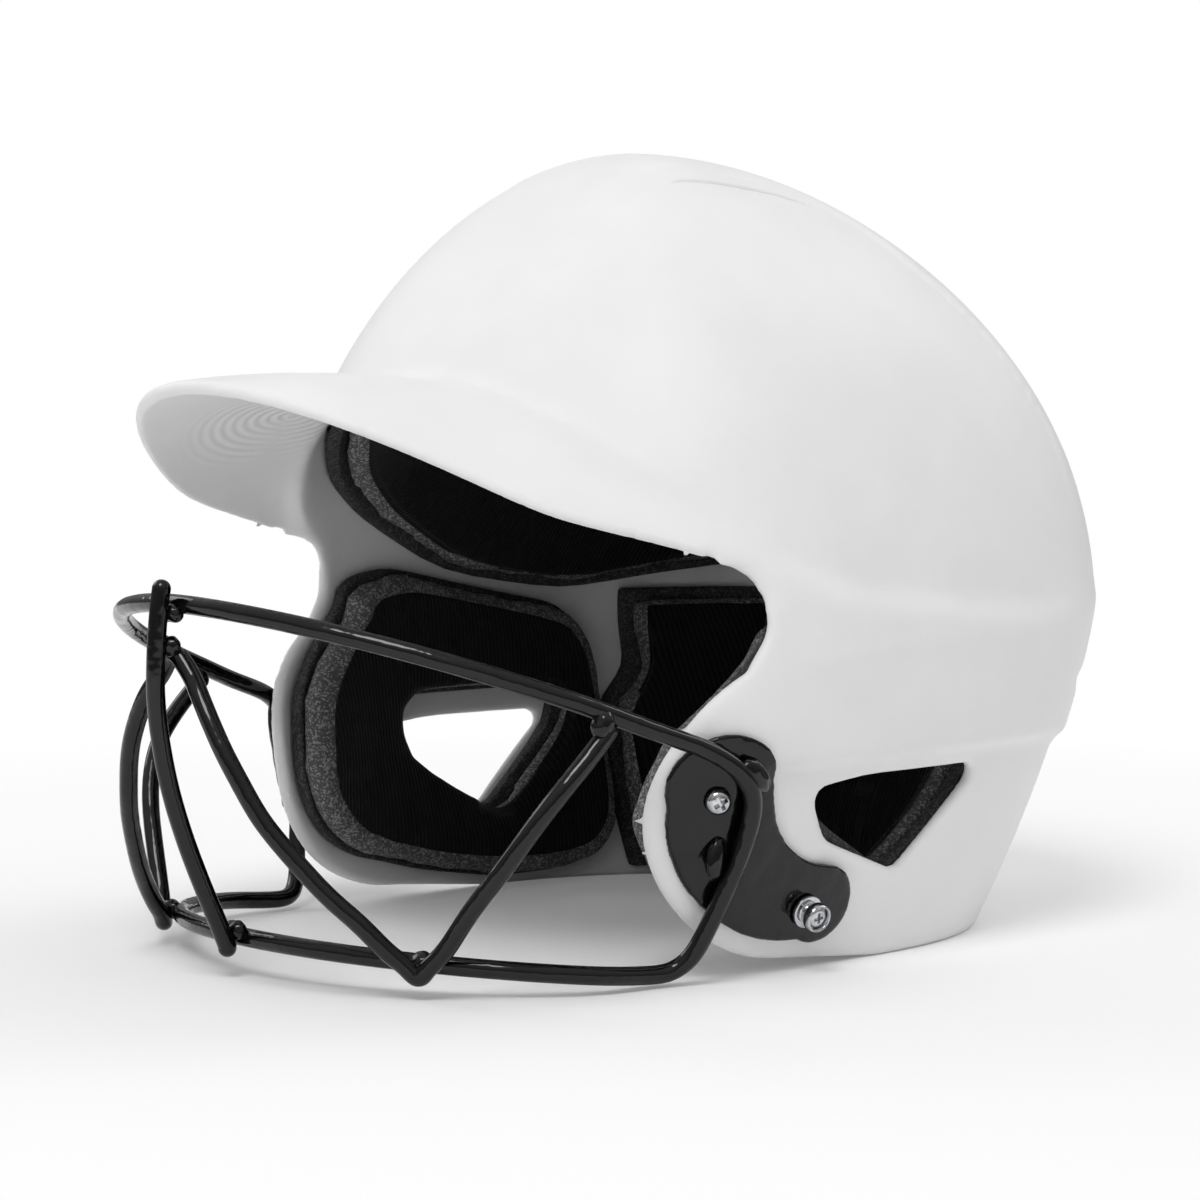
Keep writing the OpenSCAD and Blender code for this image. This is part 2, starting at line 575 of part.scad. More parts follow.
// Centre bar: lapped over the outside of both hoops
BAR_ROUTE = [
    [0, -hoop_top_reach - wire_pitch + 0.6, hoop_top_z + 4.2],
    [0, -hoop_top_reach - wire_pitch - 0.4, hoop_top_z - 2],
    [0, -hoop_top_reach - wire_pitch - 1.4, hoop_top_z - 14],
    [0, -hoop_top_reach - wire_pitch - bar_bulge, hoop_top_z - 27],
    [0, -hoop_top_reach - wire_pitch + 0.8, hoop_top_z - 42],
    [0, -hoop_low_reach - wire_pitch - 16, 48],
    [0, -hoop_low_reach - wire_pitch - 9.5, 31],
    [0, -hoop_low_reach - wire_pitch - 0.2, wire_r + hoop_low_rise]];
BAR_END = [0, -hoop_low_reach - wire_pitch + 0.6, wire_r + hoop_low_rise - 2.6];
BAR_LINE = spline(concat(BAR_ROUTE, [BAR_END]), wire_steps);
module guard_center_bar() {
    color(wire_color) open_wire(BAR_LINE, wire_r);
}
// W wire: from one end weld under the upper hoop to the other, by turn, height and stand-off
v_turn = 39;
W_END = hoop_top(82);
W_LOW = [v_turn, -0.04, wire_pitch];
v_knot = 8;
W_ROUTE = [[73, 0.79, 4.2], [66, 0.63, 7.8], [60, 0.47, 8.7], [55, 0.33, 7.9], [49.7, 0.2, 6.4],
    [44.5, 0.06, wire_pitch + 0.1], [41, 0, wire_pitch], W_LOW, [37, 0, wire_pitch],
    [34.5, 0.04, 6.8], [31.2, 0.12, 8.6], [27.2, 0.19, 9.9], [23.7, 0.27, 11], [20.5, 0.35, 12],
    [17.9, 0.42, 12.3], [15.5, 0.51, 12], [13.1, 0.59, 11.2], [10.5, 0.67, 9.4], [7.8, 0.74, 7.2],
    [4.4, 0.8, 4.4]];
ARCH_TOP = [0, -hoop_top_reach - 1.4, hoop_top_z - 12.5];
W_HALF = concat([W_END + [-0.8, -2.4, -wire_r - 1.2]],
    [for (q = W_ROUTE) guard_point(q[0], q[1], q[2])],
    [ARCH_TOP]);
W_HALF_LINE = spline(W_HALF, wire_steps);
W_LINE = concat(W_HALF_LINE, back_half(W_HALF_LINE), [flip_x(W_HALF_LINE[0])]);
module guard_w_wire() {
    color(wire_color) open_wire(W_LINE, wire_r);
}
// Weld beads: a ball settled in the corner between wires, weld_fit clear of each
weld_fit = 0.18;
bead_r = wire_r * 0.65;
function push_off(p, line) = let (
    d = unit(line[1]), foot = line[0] + d * (d * (p - line[0])))
    foot + unit(p - foot) * (wire_r + weld_fit + bead_r);
function push_all(p, lines, k) = k == len(lines) ? p : push_all(push_off(p, lines[k]), lines, k + 1);
function settle(p, lines, count = 40) = count == 0 ? p : settle(push_all(p, lines, 0), lines, count - 1);
// A wire at a knot of its route: the point there and the direction
function at_knot(line, knot) = let (i = knot * wire_steps) [line[i], line[i + 1] - line[max(i - 1, 0)]];
module bead(side, start, lines) {
    color(wire_color) at_side(side) translate(settle(start, lines)) sphere(bead_r, $fn = 32);
}
module weld_bar_top(side) {
    bead(side, hoop_top(0) + [4, -wire_r, -4], [[hoop_top(0), [1, 0, 0]], at_knot(BAR_LINE, 1)]);
}
module weld_bar_low(side) {
    bead(side, hoop_low(0) + [4, -wire_r, 4], [[hoop_low(0), [1, 0, 0]], at_knot(BAR_LINE, 7)]);
}
module weld_arch(side) {
    bead(side, ARCH_TOP + [4, -wire_r, 2],
        [[ARCH_TOP, W_HALF[len(W_HALF) - 2] - ARCH_TOP], at_knot(BAR_LINE, 2)]);
}
module weld_w(side) {
    hoop = at_knot(LOOP_LINE, 7);
    arm = at_knot(W_HALF_LINE, 0);
    bead(side, (hoop[0] + arm[0]) / 2 - [0, 2 * wire_r, 0], [hoop, arm]);
}
// The W's foot laps under the lower hoop, with the bead in the crook of the foot
module weld_v(side) {
    foot = W_HALF[v_knot];
    hoop = [hoop_low(v_turn), hoop_low(v_turn + 1) - hoop_low(v_turn - 1)];
    arms = [for (k = [-1, 1]) [W_HALF[v_knot + k], W_HALF[v_knot + 2 * k] - foot]];
    bead(side, (hoop[0] + foot) / 2 + [1, -1, 6], concat([hoop], arms));
}

// Ear plate: steel sheet that follows the flap
plate_in = [flap_r - 3, flap_half_h - 5.5];
arm_cut_r = 24.5;
lobe_r = 14.5;
arm_r = 11.3;
module plate_outline() {
    lobe = [screw_y + 1.5, screw_z + 3.5];
    arm = [stud_y + 6, stud_z + 0.3];
    difference() {
        union() {
            translate(lobe) circle(lobe_r, $fn = 40);
            translate(arm) circle(arm_r, $fn = 40);
            intersection() {
                translate([flap_y, flap_z]) scale(plate_in) circle(1, $fn = 80);
                translate([-far_out, 0]) square([far_out + arm[0], lobe[1]]);
            }
        }
        translate(arm + [1.3, arm_cut_r + arm_r + 0.3]) circle(arm_cut_r, $fn = 72);
    }
}
plate_cells = 14;
module plate_sheet() {
    y0 = flap_y - flap_r;
    y1 = stud_y + 18;
    z1 = screw_z + 20;
    patch = function (grow) [for (r = [0:plate_cells]) [for (c = [0:plate_cells]) let (
        y = y0 + (y1 - y0) * c / plate_cells, z = 1 + (z1 - 1) * r / plate_cells)
        [side_x(y, z, 0) + grow, y, z]]];
    slab_solid(patch(seat_gap), patch(seat_gap + plate_t));
}
module ear_plate(side) {
    color(wire_color) at_side(side) difference() {
        intersection() {
            plate_sheet();
            along_x(far_out) plate_outline();
        }
        screw_hole(screw_y, screw_z, screw_d + hole_clear);
        screw_hole(stud_y, stud_z, screw_d + hole_clear);
    }
}
// Two beads beside the loop's side stretch join it to the plate, at knots of its route
module plate_weld(side, knot, shift) {
    q = SIDE_ROUTE[knot] + shift;
    color(wire_color) at_side(side) on_skin(q[0], q[1])
        translate([0, 0, skin_to_plate + weld_fit + bead_r]) sphere(bead_r, $fn = 32);
}
skin_to_plate = seat_gap + plate_t;
module plate_screw(side) {
    color(chrome_color) at_side(side) on_skin(screw_y, screw_z) difference() {
        union() {
            translate([0, 0, -shell_wall - foam_t]) cylinder(h = shell_wall + foam_t + skin_to_plate + tiny,
                d = screw_d, $fn = 32);
            translate([0, 0, skin_to_plate + seat_gap]) cylinder(h = 1.4, d = screw_head_d, $fn = 40);
            translate([0, 0, skin_to_plate + seat_gap + 1.4])
                cylinder(h = 1.3, d1 = screw_head_d, d2 = screw_head_d - 2.4, $fn = 40);
            translate([0, 0, skin_to_plate - tiny]) cylinder(h = seat_gap + 2 * tiny, d = screw_d, $fn = 32);
        }
        for (turn = [30, 120]) translate([0, 0, skin_to_plate + seat_gap + 2.2]) rotate([0, 0, turn])
            cube([3.8, 1, 2.2], center = true);
    }
}
module strap_stud(side) {
    color(chrome_color) at_side(side) on_skin(stud_y, stud_z) translate([0, 0, skin_to_plate + seat_gap])
        difference() {
            union() {
                cylinder(h = 1.2, d = stud_flange_d, $fn = 48);
                cylinder(h = stud_h - 1, d = stud_head_d - 2.2, $fn = 48);
                translate([0, 0, stud_h - 3]) cylinder(h = 3, d = stud_head_d, $fn = 48);
            }
            translate([0, 0, -1]) cylinder(h = stud_h + 2, d = screw_d + hole_clear, $fn = 40);
            translate([0, 0, stud_h - 2]) cylinder(h = 3, d = stud_head_d - 1.8, $fn = 40);
        }
}
module stud_screw(side) {
    seat = skin_to_plate + seat_gap + stud_h - 2;
    color(chrome_color) at_side(side) on_skin(stud_y, stud_z) difference() {
        union() {
            translate([0, 0, -shell_wall - foam_t]) cylinder(h = shell_wall + foam_t + seat + 0.2,
                d = screw_d, $fn = 32);
            translate([0, 0, seat + 0.1]) cylinder(h = 1.3, d = stud_head_d - 2.2, $fn = 36);
        }
        for (turn = [10, 100]) translate([0, 0, seat + 1.2]) rotate([0, 0, turn])
            cube([3.4, 0.9, 1.4], center = true);
    }
}
// Flanged nut sunk in the firm foam behind the shell
nut_gap = seat_gap + 0.5;
module flange_nut(side, y, z) {
    color(chrome_color) at_side(side) on_skin(y, z) translate([0, 0, -shell_wall - nut_gap - foam_t + 0.4])
        difference() {
            union() {
                cylinder(h = foam_t - 0.4, d = screw_d + 3, $fn = 32);
                translate([0, 0, foam_t - 1.6]) cylinder(h = 1.2, d = screw_d + 6, $fn = 40);
            }
            translate([0, 0, -1]) cylinder(h = foam_t + 2, d = screw_d + hole_clear, $fn = 32);
        }
}
module nut_room(side) {
    at_side(side) {
        screw_hole(screw_y, screw_z, screw_d + 7);
        screw_hole(stud_y, stud_z, screw_d + 7);
    }
}
module ear_layer_on(side, layer) {
    pad_color(layer) at_side(side) difference() {
        ear_layer(layer);
        if (layer == 0) nut_room("left");
    }
}
module rear_layer_on(side, layer) {
    pad_color(layer) at_side(side) rear_layer(layer);
}

centred() shell();
centred() pad_color(0) brow_layer(0);  // brow_foam
centred() pad_color(1) brow_layer(1);  // brow_pad
centred() pad_color(2) brow_layer(2);  // brow_fabric
centred() pad_color(0) crown_layer(0);  // crown_foam
centred() pad_color(1) crown_layer(1);  // crown_pad
centred() pad_color(2) crown_layer(2);  // crown_fabric
centred() ear_layer_on("left", 0);  // ear_foam_left
centred() ear_layer_on("left", 1);  // ear_pad_left
centred() ear_layer_on("left", 2);  // ear_fabric_left
centred() ear_layer_on("right", 0);  // ear_foam_right
centred() ear_layer_on("right", 1);  // ear_pad_right
centred() ear_layer_on("right", 2);  // ear_fabric_right
centred() rear_layer_on("left", 0);  // rear_foam_left
centred() rear_layer_on("left", 1);  // rear_pad_left
centred() rear_layer_on("left", 2);  // rear_fabric_left
centred() rear_layer_on("right", 0);  // rear_foam_right
centred() rear_layer_on("right", 1);  // rear_pad_right
centred() rear_layer_on("right", 2);  // rear_fabric_right
centred() pad_color(0) nape_layer(0);  // nape_foam
centred() pad_color(1) nape_layer(1);  // nape_pad
centred() pad_color(2) nape_layer(2);  // nape_fabric
centred() guard_loop_wire();
centred() guard_center_bar();
centred() guard_w_wire();
centred() weld_bar_top("left");  // weld_bar_top_left
centred() weld_bar_top("right");  // weld_bar_top_right
centred() weld_bar_low("left");  // weld_bar_low_left
centred() weld_bar_low("right");  // weld_bar_low_right
centred() weld_arch("left");  // weld_arch_left
centred() weld_arch("right");  // weld_arch_right
centred() weld_w("left");  // weld_w_left
centred() weld_w("right");  // weld_w_right
centred() weld_v("left");  // weld_v_left
centred() weld_v("right");  // weld_v_right
centred() ear_plate("left");  // ear_plate_left
centred() ear_plate("right");  // ear_plate_right
centred() plate_weld("left", 2, [5, 2.6]);  // plate_weld_upper_left
centred() plate_weld("right", 2, [5, 2.6]);  // plate_weld_upper_right
centred() plate_weld("left", 5, [-4.5, 1]);  // plate_weld_lower_left
centred() plate_weld("right", 5, [-4.5, 1]);  // plate_weld_lower_right
centred() plate_screw("left");  // plate_screw_left
centred() plate_screw("right");  // plate_screw_right
centred() strap_stud("left");  // strap_stud_left
centred() strap_stud("right");  // strap_stud_right
centred() stud_screw("left");  // stud_screw_left
centred() stud_screw("right");  // stud_screw_right
centred() flange_nut("left", screw_y, screw_z);  // nut_upper_left
centred() flange_nut("right", screw_y, screw_z);  // nut_upper_right
centred() flange_nut("left", stud_y, stud_z);  // nut_lower_left
centred() flange_nut("right", stud_y, stud_z);  // nut_lower_right
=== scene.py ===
"""Softball batting helmet with a wire face guard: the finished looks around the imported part."""

import json
import math

import bmesh
import bpy
from mathutils import Matrix, Vector, noise
from mathutils.bvhtree import BVHTree
from mathutils.geometry import convex_hull_2d
from mathutils.kdtree import KDTree

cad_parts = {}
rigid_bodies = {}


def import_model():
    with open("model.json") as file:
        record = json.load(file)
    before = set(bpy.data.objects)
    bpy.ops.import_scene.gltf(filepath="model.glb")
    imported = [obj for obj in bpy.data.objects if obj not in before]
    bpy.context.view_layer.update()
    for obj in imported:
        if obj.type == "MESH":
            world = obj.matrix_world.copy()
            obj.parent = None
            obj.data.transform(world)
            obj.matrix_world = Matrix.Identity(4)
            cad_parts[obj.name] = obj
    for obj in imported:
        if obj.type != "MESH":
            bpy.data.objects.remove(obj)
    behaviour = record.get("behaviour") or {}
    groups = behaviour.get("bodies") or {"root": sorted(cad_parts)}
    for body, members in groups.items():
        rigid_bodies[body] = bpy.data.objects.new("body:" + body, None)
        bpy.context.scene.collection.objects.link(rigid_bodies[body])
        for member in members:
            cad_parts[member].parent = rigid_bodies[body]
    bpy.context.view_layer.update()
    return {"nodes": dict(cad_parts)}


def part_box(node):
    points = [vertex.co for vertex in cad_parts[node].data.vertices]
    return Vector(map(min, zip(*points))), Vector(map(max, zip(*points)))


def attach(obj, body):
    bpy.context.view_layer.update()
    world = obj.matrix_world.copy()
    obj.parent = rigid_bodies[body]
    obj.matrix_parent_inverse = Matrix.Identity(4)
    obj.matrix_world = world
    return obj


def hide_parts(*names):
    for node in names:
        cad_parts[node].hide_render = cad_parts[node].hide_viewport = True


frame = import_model()


# Shell: one injection-moulded ABS wall with its brim, sprayed matt white.
# The mould leaves rounded rims, a raised crown panel with a slit vent on each side,
# shallow creases over the ears and a stepped lower edge.

MM = 0.001
# Measures here are in millimetres. The face line lies this far in front of the row frame's origin
MIDDLE_Y = 48.7
HALF_WIDTH, FRONT_REACH, REAR_REACH, WIDEST_Y, WIDEST_Z, CROWN_Z = 108, 93, 152, 57, 98, 230
WALL = 4
# The ledge: its height at the sides, its rise over the brow and at the nape, and the turn between
LEDGE_Z, BROW_RISE, NAPE_RISE, LEDGE_TURN = 101.5, 31.5, 4.5, 115
# How far the ledge steps out, the cheeks draw in and the ear recess sinks
LEDGE_STEP, CHEEK_DRAW, RECESS_DEPTH = 3, 1.5, 3
# The brim's rim: half an ellipse from above, falling to the back in two slopes with a soft knee
BRIM_Y, BRIM_REACH, BRIM_HALF_WIDTH, BRIM_FRONT_Z, BRIM_FALL = 20, 117, 102, 165, 0.45
KNEE_Y, KNEE_BACK, KNEE_BEND, KNEE_SOFT = -45, 52, 0.2, 2


def place(x, y, z):
    """A point in millimetres from the face line, on the floor, in the row frame."""
    return Vector((x, y - MIDDLE_Y, z)) * MM


def ease(t):
    """A smooth step from 0 to 1, level at both ends."""
    t = min(max(t, 0), 1)
    return t * t * (3 - 2 * t)


def ledge_height(turn):
    """Height of the ledge's upper edge at a turn from the front."""
    turn = abs(turn)
    if turn < LEDGE_TURN:
        return LEDGE_Z + BROW_RISE * (1 + math.cos(math.radians(turn * 180 / LEDGE_TURN)))
    behind = (turn - LEDGE_TURN) * 180 / (180 - LEDGE_TURN)
    return LEDGE_Z + NAPE_RISE * (1 - math.cos(math.radians(behind)))


def recess_height(turn):
    """Height of the ear recess's upper edge, lower towards the back."""
    return 61 - 4 * ease((abs(turn) - 110) / 40)


def stand_off(turn, z, inside):
    """How far the moulded steps lift the wall off its mean form."""
    ledge_slope, recess_slope = (30, 30) if inside else (10, 4)
    ledge_low = ledge_height(turn) - (10 + ledge_slope) / 2
    recess_low = recess_height(turn) - 4
    side = ease((abs(turn) - 68) / 12)
    fading = 1 - 0.8 * ease((abs(turn) - 100) / 50)
    ledge = LEDGE_STEP * (ease((ledge_low + ledge_slope - z) / ledge_slope) - 0.5) * fading
    cheek = CHEEK_DRAW * ease((72.5 - z) / 30) * (1 - side)
    recess = RECESS_DEPTH * side * ease((recess_low + recess_slope - z) / recess_slope)
    return ledge - cheek - recess


def dome_scale(z, top, power):
    """Share of a reach that is left at a height, on an arch from the widest height to the top."""
    return max(1 - (max(z - WIDEST_Z, 0) / (top - WIDEST_Z)) ** power, 0) ** (1 / power)


def sections(z, depth):
    """Half width, rear reach and front reach of the wall at a height. Below its widest height
    the wall draws in by up to 17 mm at the sides and 44 mm at the back."""
    top, below = CROWN_Z + depth, max(WIDEST_Z - z, 0) / WIDEST_Z
    return ((HALF_WIDTH + depth) * dome_scale(z, top, 2) - 17 * below ** 2,
            (REAR_REACH + depth) * dome_scale(z, top, 1.78) - 44 * below ** 1.25,
            (FRONT_REACH + depth) * dome_scale(z, top, 1.7))


def wall_point(turn, z, depth):
    """The wall at a turn from the front, over the wearer's left at 90, to the back at 180."""
    width, rear, front = sections(z, depth)
    s, c = math.sin(math.radians(turn)), math.cos(math.radians(turn))
    reach, power = (rear, 2.6) if c < 0 else (front, 2.4 + 0.4 * ease((WIDEST_Z - z) / 30))
    off = stand_off(turn, z, depth < 0)
    return Vector((width * math.copysign(abs(s) ** (2 / power), s) + off * s,
                   WIDEST_Y - reach * math.copysign(abs(c) ** (2 / power), c) - off * c, z))


def brim_point(across, out):
    """The brim's upper face: across runs from -1 to 1 and out from the forehead to the rim."""
    s = abs(across)
    root = wall_point(70 * s, ledge_height(70 * s) - 1.5, -0.7 * WALL)
    a = math.radians(90 * s)
    y = BRIM_Y - BRIM_REACH * math.cos(a)
    knee = y - KNEE_Y
    rim_z = (BRIM_FRONT_Z - BRIM_FALL * (knee + KNEE_BACK) + math.hypot(KNEE_BEND * knee, KNEE_SOFT)
             - math.hypot(KNEE_BEND * KNEE_BACK, KNEE_SOFT) - 5 * s ** 12)
    p = root.lerp(Vector((BRIM_HALF_WIDTH * math.sin(a), y, rim_z)), out)
    p.z += 5 * (1 - s ** 4) * (2 * out * (1 - out) - 0.2 * out)
    return Vector((math.copysign(p.x, across), p.y, p.z))


def form_of(across, along, point):
    """A fine sheet through point(u, v), for u and v from 0 to 1."""
    sheet = bmesh.new()
    bmesh.ops.create_grid(sheet, x_segments=across, y_segments=along, size=0.5)
    for v in sheet.verts:
        v.co = place(*point(v.co.x + 0.5, v.co.y + 0.5))
    return sheet


def wall_form(depth):
    """A skin of the wall or a sheet in it, with closer rows over the dome."""
    def height(v):
        if v < 0.4:
            return WIDEST_Z * v / 0.4
        return WIDEST_Z + (CROWN_Z - WIDEST_Z + depth) * math.sin(math.radians(150 * (v - 0.4)))

    def point(u, v):
        return wall_point(360 * u - 180, min(height(v), CROWN_Z - 0.001 + depth), depth)

    return form_of(240, 110, point)


def brim_form(depth):
    """The brim's upper face, or its underside at the wall's depth."""
    return form_of(160, 60, lambda u, v: brim_point(2 * u - 1, v) - Vector((0, 0, depth)))


def from_side(at):
    """A point of the row frame as distance back from the face line and height, in millimetres."""
    return at.y / MM + MIDDLE_Y, at.z / MM


def merged_copy(node):
    """A CAD node's mesh with its loose triangles joined."""
    bm = bmesh.new()
    bm.from_mesh(frame["nodes"][node].data)
    bmesh.ops.remove_doubles(bm, verts=bm.verts, dist=0.00002)
    return bm


def shown(bm, name):
    """The finished mesh as an object, smooth all over."""
    mesh = bpy.data.meshes.new(name)
    bm.to_mesh(mesh)
    bm.free()
    for face in mesh.polygons:
        face.use_smooth = True
    obj = bpy.data.objects.new(name, mesh)
    bpy.context.scene.collection.objects.link(obj)
    return obj


def applied(obj):
    """The object's mesh with its modifiers in it, as a bmesh. The object is removed."""
    obj_now = obj.evaluated_get(bpy.context.evaluated_depsgraph_get())
    bm = bmesh.new()
    bm.from_mesh(obj_now.to_mesh())
    bpy.data.objects.remove(obj)
    return bm


def recast(bm, cell):
    """The same closed form in even cells."""
    obj = shown(bm, "recast")
    even = obj.modifiers.new("even", "REMESH")
    even.mode, even.voxel_size = "VOXEL", cell
    return applied(obj)


def relax(bm, verts, times, factor=0.5):
    """Evens points out between their neighbours."""
    for _ in range(times):
        bmesh.ops.smooth_vert(bm, verts=verts, factor=factor,
                              use_axis_x=True, use_axis_y=True, use_axis_z=True)


def linear(code):
    """An sRGB hex colour as linear RGBA."""
    parts = [int(code[i:i + 2], 16) / 255 for i in (1, 3, 5)]
    return [c / 12.92 if c <= 0.04045 else ((c + 0.055) / 1.055) ** 2.4 for c in parts] + [1]


def add(material, kind, inputs, **settings):
    """One node: settings are its properties, inputs its values or the sockets that feed it."""
    node = material.node_tree.nodes.new(kind)
    for name, value in settings.items():
        setattr(node, name, value)
    for name, value in inputs.items():
        if isinstance(value, bpy.types.NodeSocket):
            material.node_tree.links.new(value, node.inputs[name])
        else:
            node.inputs[name].default_value = value
    return node


def new_material(name):
    """A node material that is still empty."""
    material = bpy.data.materials.new(name)
    material.use_nodes = True
    material.node_tree.nodes.clear()
    return material


def finish(material, shader):
    """Puts the shader on the material's surface."""
    out = add(material, "ShaderNodeOutputMaterial", {})
    material.node_tree.links.new(shader.outputs[0], out.inputs["Surface"])


def ramp(material, value, *stops):
    """Colour ramp through (place, colour) stops."""
    node = add(material, "ShaderNodeValToRGB", {"Fac": value})
    while len(node.color_ramp.elements) < len(stops):
        node.color_ramp.elements.new(0.5)
    for element, (where, code) in zip(node.color_ramp.elements, stops):
        element.position, element.color = where, linear(code)
    return node.outputs["Color"]


# Rings under the brim, in metres: their pitch, the gate mark in their middle and where they fade
RING_PITCH, RING_MIDDLE, FADE_FROM, FADE_TO = 0.0034, (0.048, 0.0783, 0.1528), 0.022, 0.034


def matt_white_abs():
    """Matt sprayed ABS: no mirror image, a soft wide highlight and a fine sprayed grain of 0.6 mm.
    The underside of the brim keeps moulded ribs, rings 3.4 mm apart round a gate mark."""
    m = new_material("matt_white_abs")
    at = add(m, "ShaderNodeTexCoord", {}).outputs["Object"]
    grain = add(m, "ShaderNodeTexNoise", {"Vector": at, "Scale": 1600, "Detail": 2}).outputs["Fac"]
    cloud = add(m, "ShaderNodeTexNoise", {"Vector": at, "Scale": 28, "Detail": 3}).outputs["Fac"]
    under = add(m, "ShaderNodeAttribute", {}, attribute_name="brim_under").outputs["Fac"]
    both = add(m, "ShaderNodeVectorMath", {0: at}, operation="ABSOLUTE").outputs["Vector"]
    away = add(m, "ShaderNodeVectorMath", {0: both, 1: RING_MIDDLE},
               operation="DISTANCE").outputs["Value"]
    turns = add(m, "ShaderNodeMath", {0: away, 1: 2 * math.pi / RING_PITCH},
                operation="MULTIPLY").outputs[0]
    rings = add(m, "ShaderNodeMath", {0: turns}, operation="SINE").outputs[0]
    near = add(m, "ShaderNodeMapRange", {"Value": away, "From Min": FADE_FROM, "From Max": FADE_TO,
                                         "To Min": 1, "To Max": 0}).outputs["Result"]
    rings = add(m, "ShaderNodeMath", {0: rings, 1: near}, operation="MULTIPLY").outputs[0]
    rings = add(m, "ShaderNodeMath", {0: rings, 1: under}, operation="MULTIPLY").outputs[0]
    fine = add(m, "ShaderNodeBump", {"Height": grain, "Distance": 0.00004,
                                     "Strength": 0.5}).outputs["Normal"]
    ribbed = add(m, "ShaderNodeBump", {"Height": rings, "Distance": 0.00028, "Strength": 0.35,
                                       "Normal": fine}).outputs["Normal"]
    finish(m, add(m, "ShaderNodeBsdfPrincipled", {
        "Base Color": ramp(m, cloud, (0.3, "#efefef"), (0.7, "#f4f4f4")),
        "Roughness": ramp(m, cloud, (0.3, "#bcbcbc"), (0.7, "#c6c6c6")),
        "IOR": 1.5, "Specular IOR Level": 0.4, "Normal": ribbed}))
    return m


# The crown panel's edge and the slit beside it, on the wearer's left
PANEL_EDGE = [Vector(p) for p in ((22, 18, 212), (29, 39, 221), (31, 63, 222), (37, 86, 218),
                                  (48, 100, 209), (62, 115, 194), (74, 141, 168), (81, 157, 142),
                                  (90, 156, 118))]
PANEL_RISE = 0.9
VENT = [Vector(p) for p in ((37, 48, 219), (40, 67, 218), (45, 86, 213))]
# Half widths of the slit at distances along it, and the foot and rise of the blade that cuts it
VENT_HALF = [(0, -4), (0.5, 0), (0.95, 12), (0.95, 24), (0.5, 36), (0, 42)]
BLADE_Z, BLADE_RISE = 200, 40
# The groove low on the back: its height, depth and width
GROOVE_Z, GROOVE_DEPTH, GROOVE_WIDE = 73, 0.9, 2.7
# Creases over the ear and on the flap: a line of (distance back, height), how high and how wide
CREASES = [([(26, 86.5), (51, 89.5), (100, 91.5)], 0.35, 2.5),
           ([(29, 46.5), (32, 39.5), (37, 34.5), (45, 30.5)], 0.8, 3)]


def near_line(p, line):
    """Distance to a line of points, and the nearest point on it with its share of the way."""
    best = None
    for i, (a, b) in enumerate(zip(line, line[1:])):
        t = min(max((p - a).dot(b - a) / (b - a).length_squared, 0), 1)
        q = a.lerp(b, t)
        d = (p - q).length
        if best is None or d < best[0]:
            best = (d, q, (i + t) / (len(line) - 1))
    return best


def relief(p):
    """Raised or sunk detail of the outer skin in millimetres, at a point from the face line."""
    raised = 0
    p = Vector((abs(p.x), p.y, p.z))
    if p.z > 104:
        d, q, share = near_line(p, PANEL_EDGE)
        inside = d if p.x < q.x else -d
        ends = ease(share / 0.3) * (1 - ease((share - 0.82) / 0.18))
        raised += PANEL_RISE * ends * ease((inside + 2.2) / 4.4) * (1 - 0.85 * ease(inside / 36))
    if p.z < 100:
        for line, height, wide in CREASES:
            d, _, share = near_line(Vector((0, p.y, p.z)), [Vector((0, *q)) for q in line])
            ends = ease(share / 0.15) * ease((1 - share) / 0.15)
            raised += height * math.exp(-(d / wide) ** 2) * ends
    behind = ease((p.y - 150) / 25)
    raised -= GROOVE_DEPTH * behind * math.exp(-((p.z - GROOVE_Z) / GROOVE_WIDE) ** 2)
    return raised


def vent_cutter(side):
    """A thin blade down through the crown, pointed at both ends."""
    blade = bmesh.new()
    way = (VENT[-1] - VENT[0]).xy.normalized()
    outline = [VENT[0].xy + way * along + Vector((-way.y, way.x)) * wide
               for wide, along in VENT_HALF + [(-w, t) for w, t in VENT_HALF[-2:0:-1]]]
    low = [blade.verts.new(place(side * q.x, q.y, BLADE_Z)) for q in outline]
    risen = bmesh.ops.extrude_face_region(blade, geom=[blade.faces.new(low)])
    for v in risen["geom"]:
        if isinstance(v, bmesh.types.BMVert):
            v.co.z += BLADE_RISE * MM
    bmesh.ops.recalc_face_normals(blade, faces=blade.faces)
    return blade


cast = merged_copy("shell")
# The slit vents are cut after the wall is recast, so a plug inside the wall fills them until then
PLUG_INSET = 0.4
for side in (-1, 1):
    plug = form_of(12, 10, lambda u, v: wall_point(side * (58 + 80 * u), 203 + 22 * v, -PLUG_INSET))
    plug.normal_update()
    through = (WALL - 2 * PLUG_INSET) * MM
    inward = {v.index: v.normal * math.copysign(through, -v.normal.z) for v in plug.verts}
    outer = {v.co.copy().freeze(): v.index for v in plug.verts}
    deep = bmesh.ops.extrude_face_region(plug, geom=plug.faces[:])
    for v in deep["geom"]:
        if isinstance(v, bmesh.types.BMVert):
            v.co += inward[outer[v.co.copy().freeze()]]
    bmesh.ops.recalc_face_normals(plug, faces=plug.faces)
    filling = bpy.data.meshes.new("plug")
    plug.to_mesh(filling)
    plug.free()
    cast.from_mesh(filling)
    bpy.data.meshes.remove(filling)


def circle(y, z, ry, rz=None, steps=120):
    """A circle, or with two radii an ellipse, as a ring of points."""
    return [Vector((y + ry * math.cos(2 * math.pi * k / steps),
                    z + (rz or ry) * math.sin(2 * math.pi * k / steps))) for k in range(steps)]


def between(line, k):
    """The middle between a point's two neighbours on a closed line."""
    return (line[k - 1] + line[(k + 1) % len(line)]) / 2


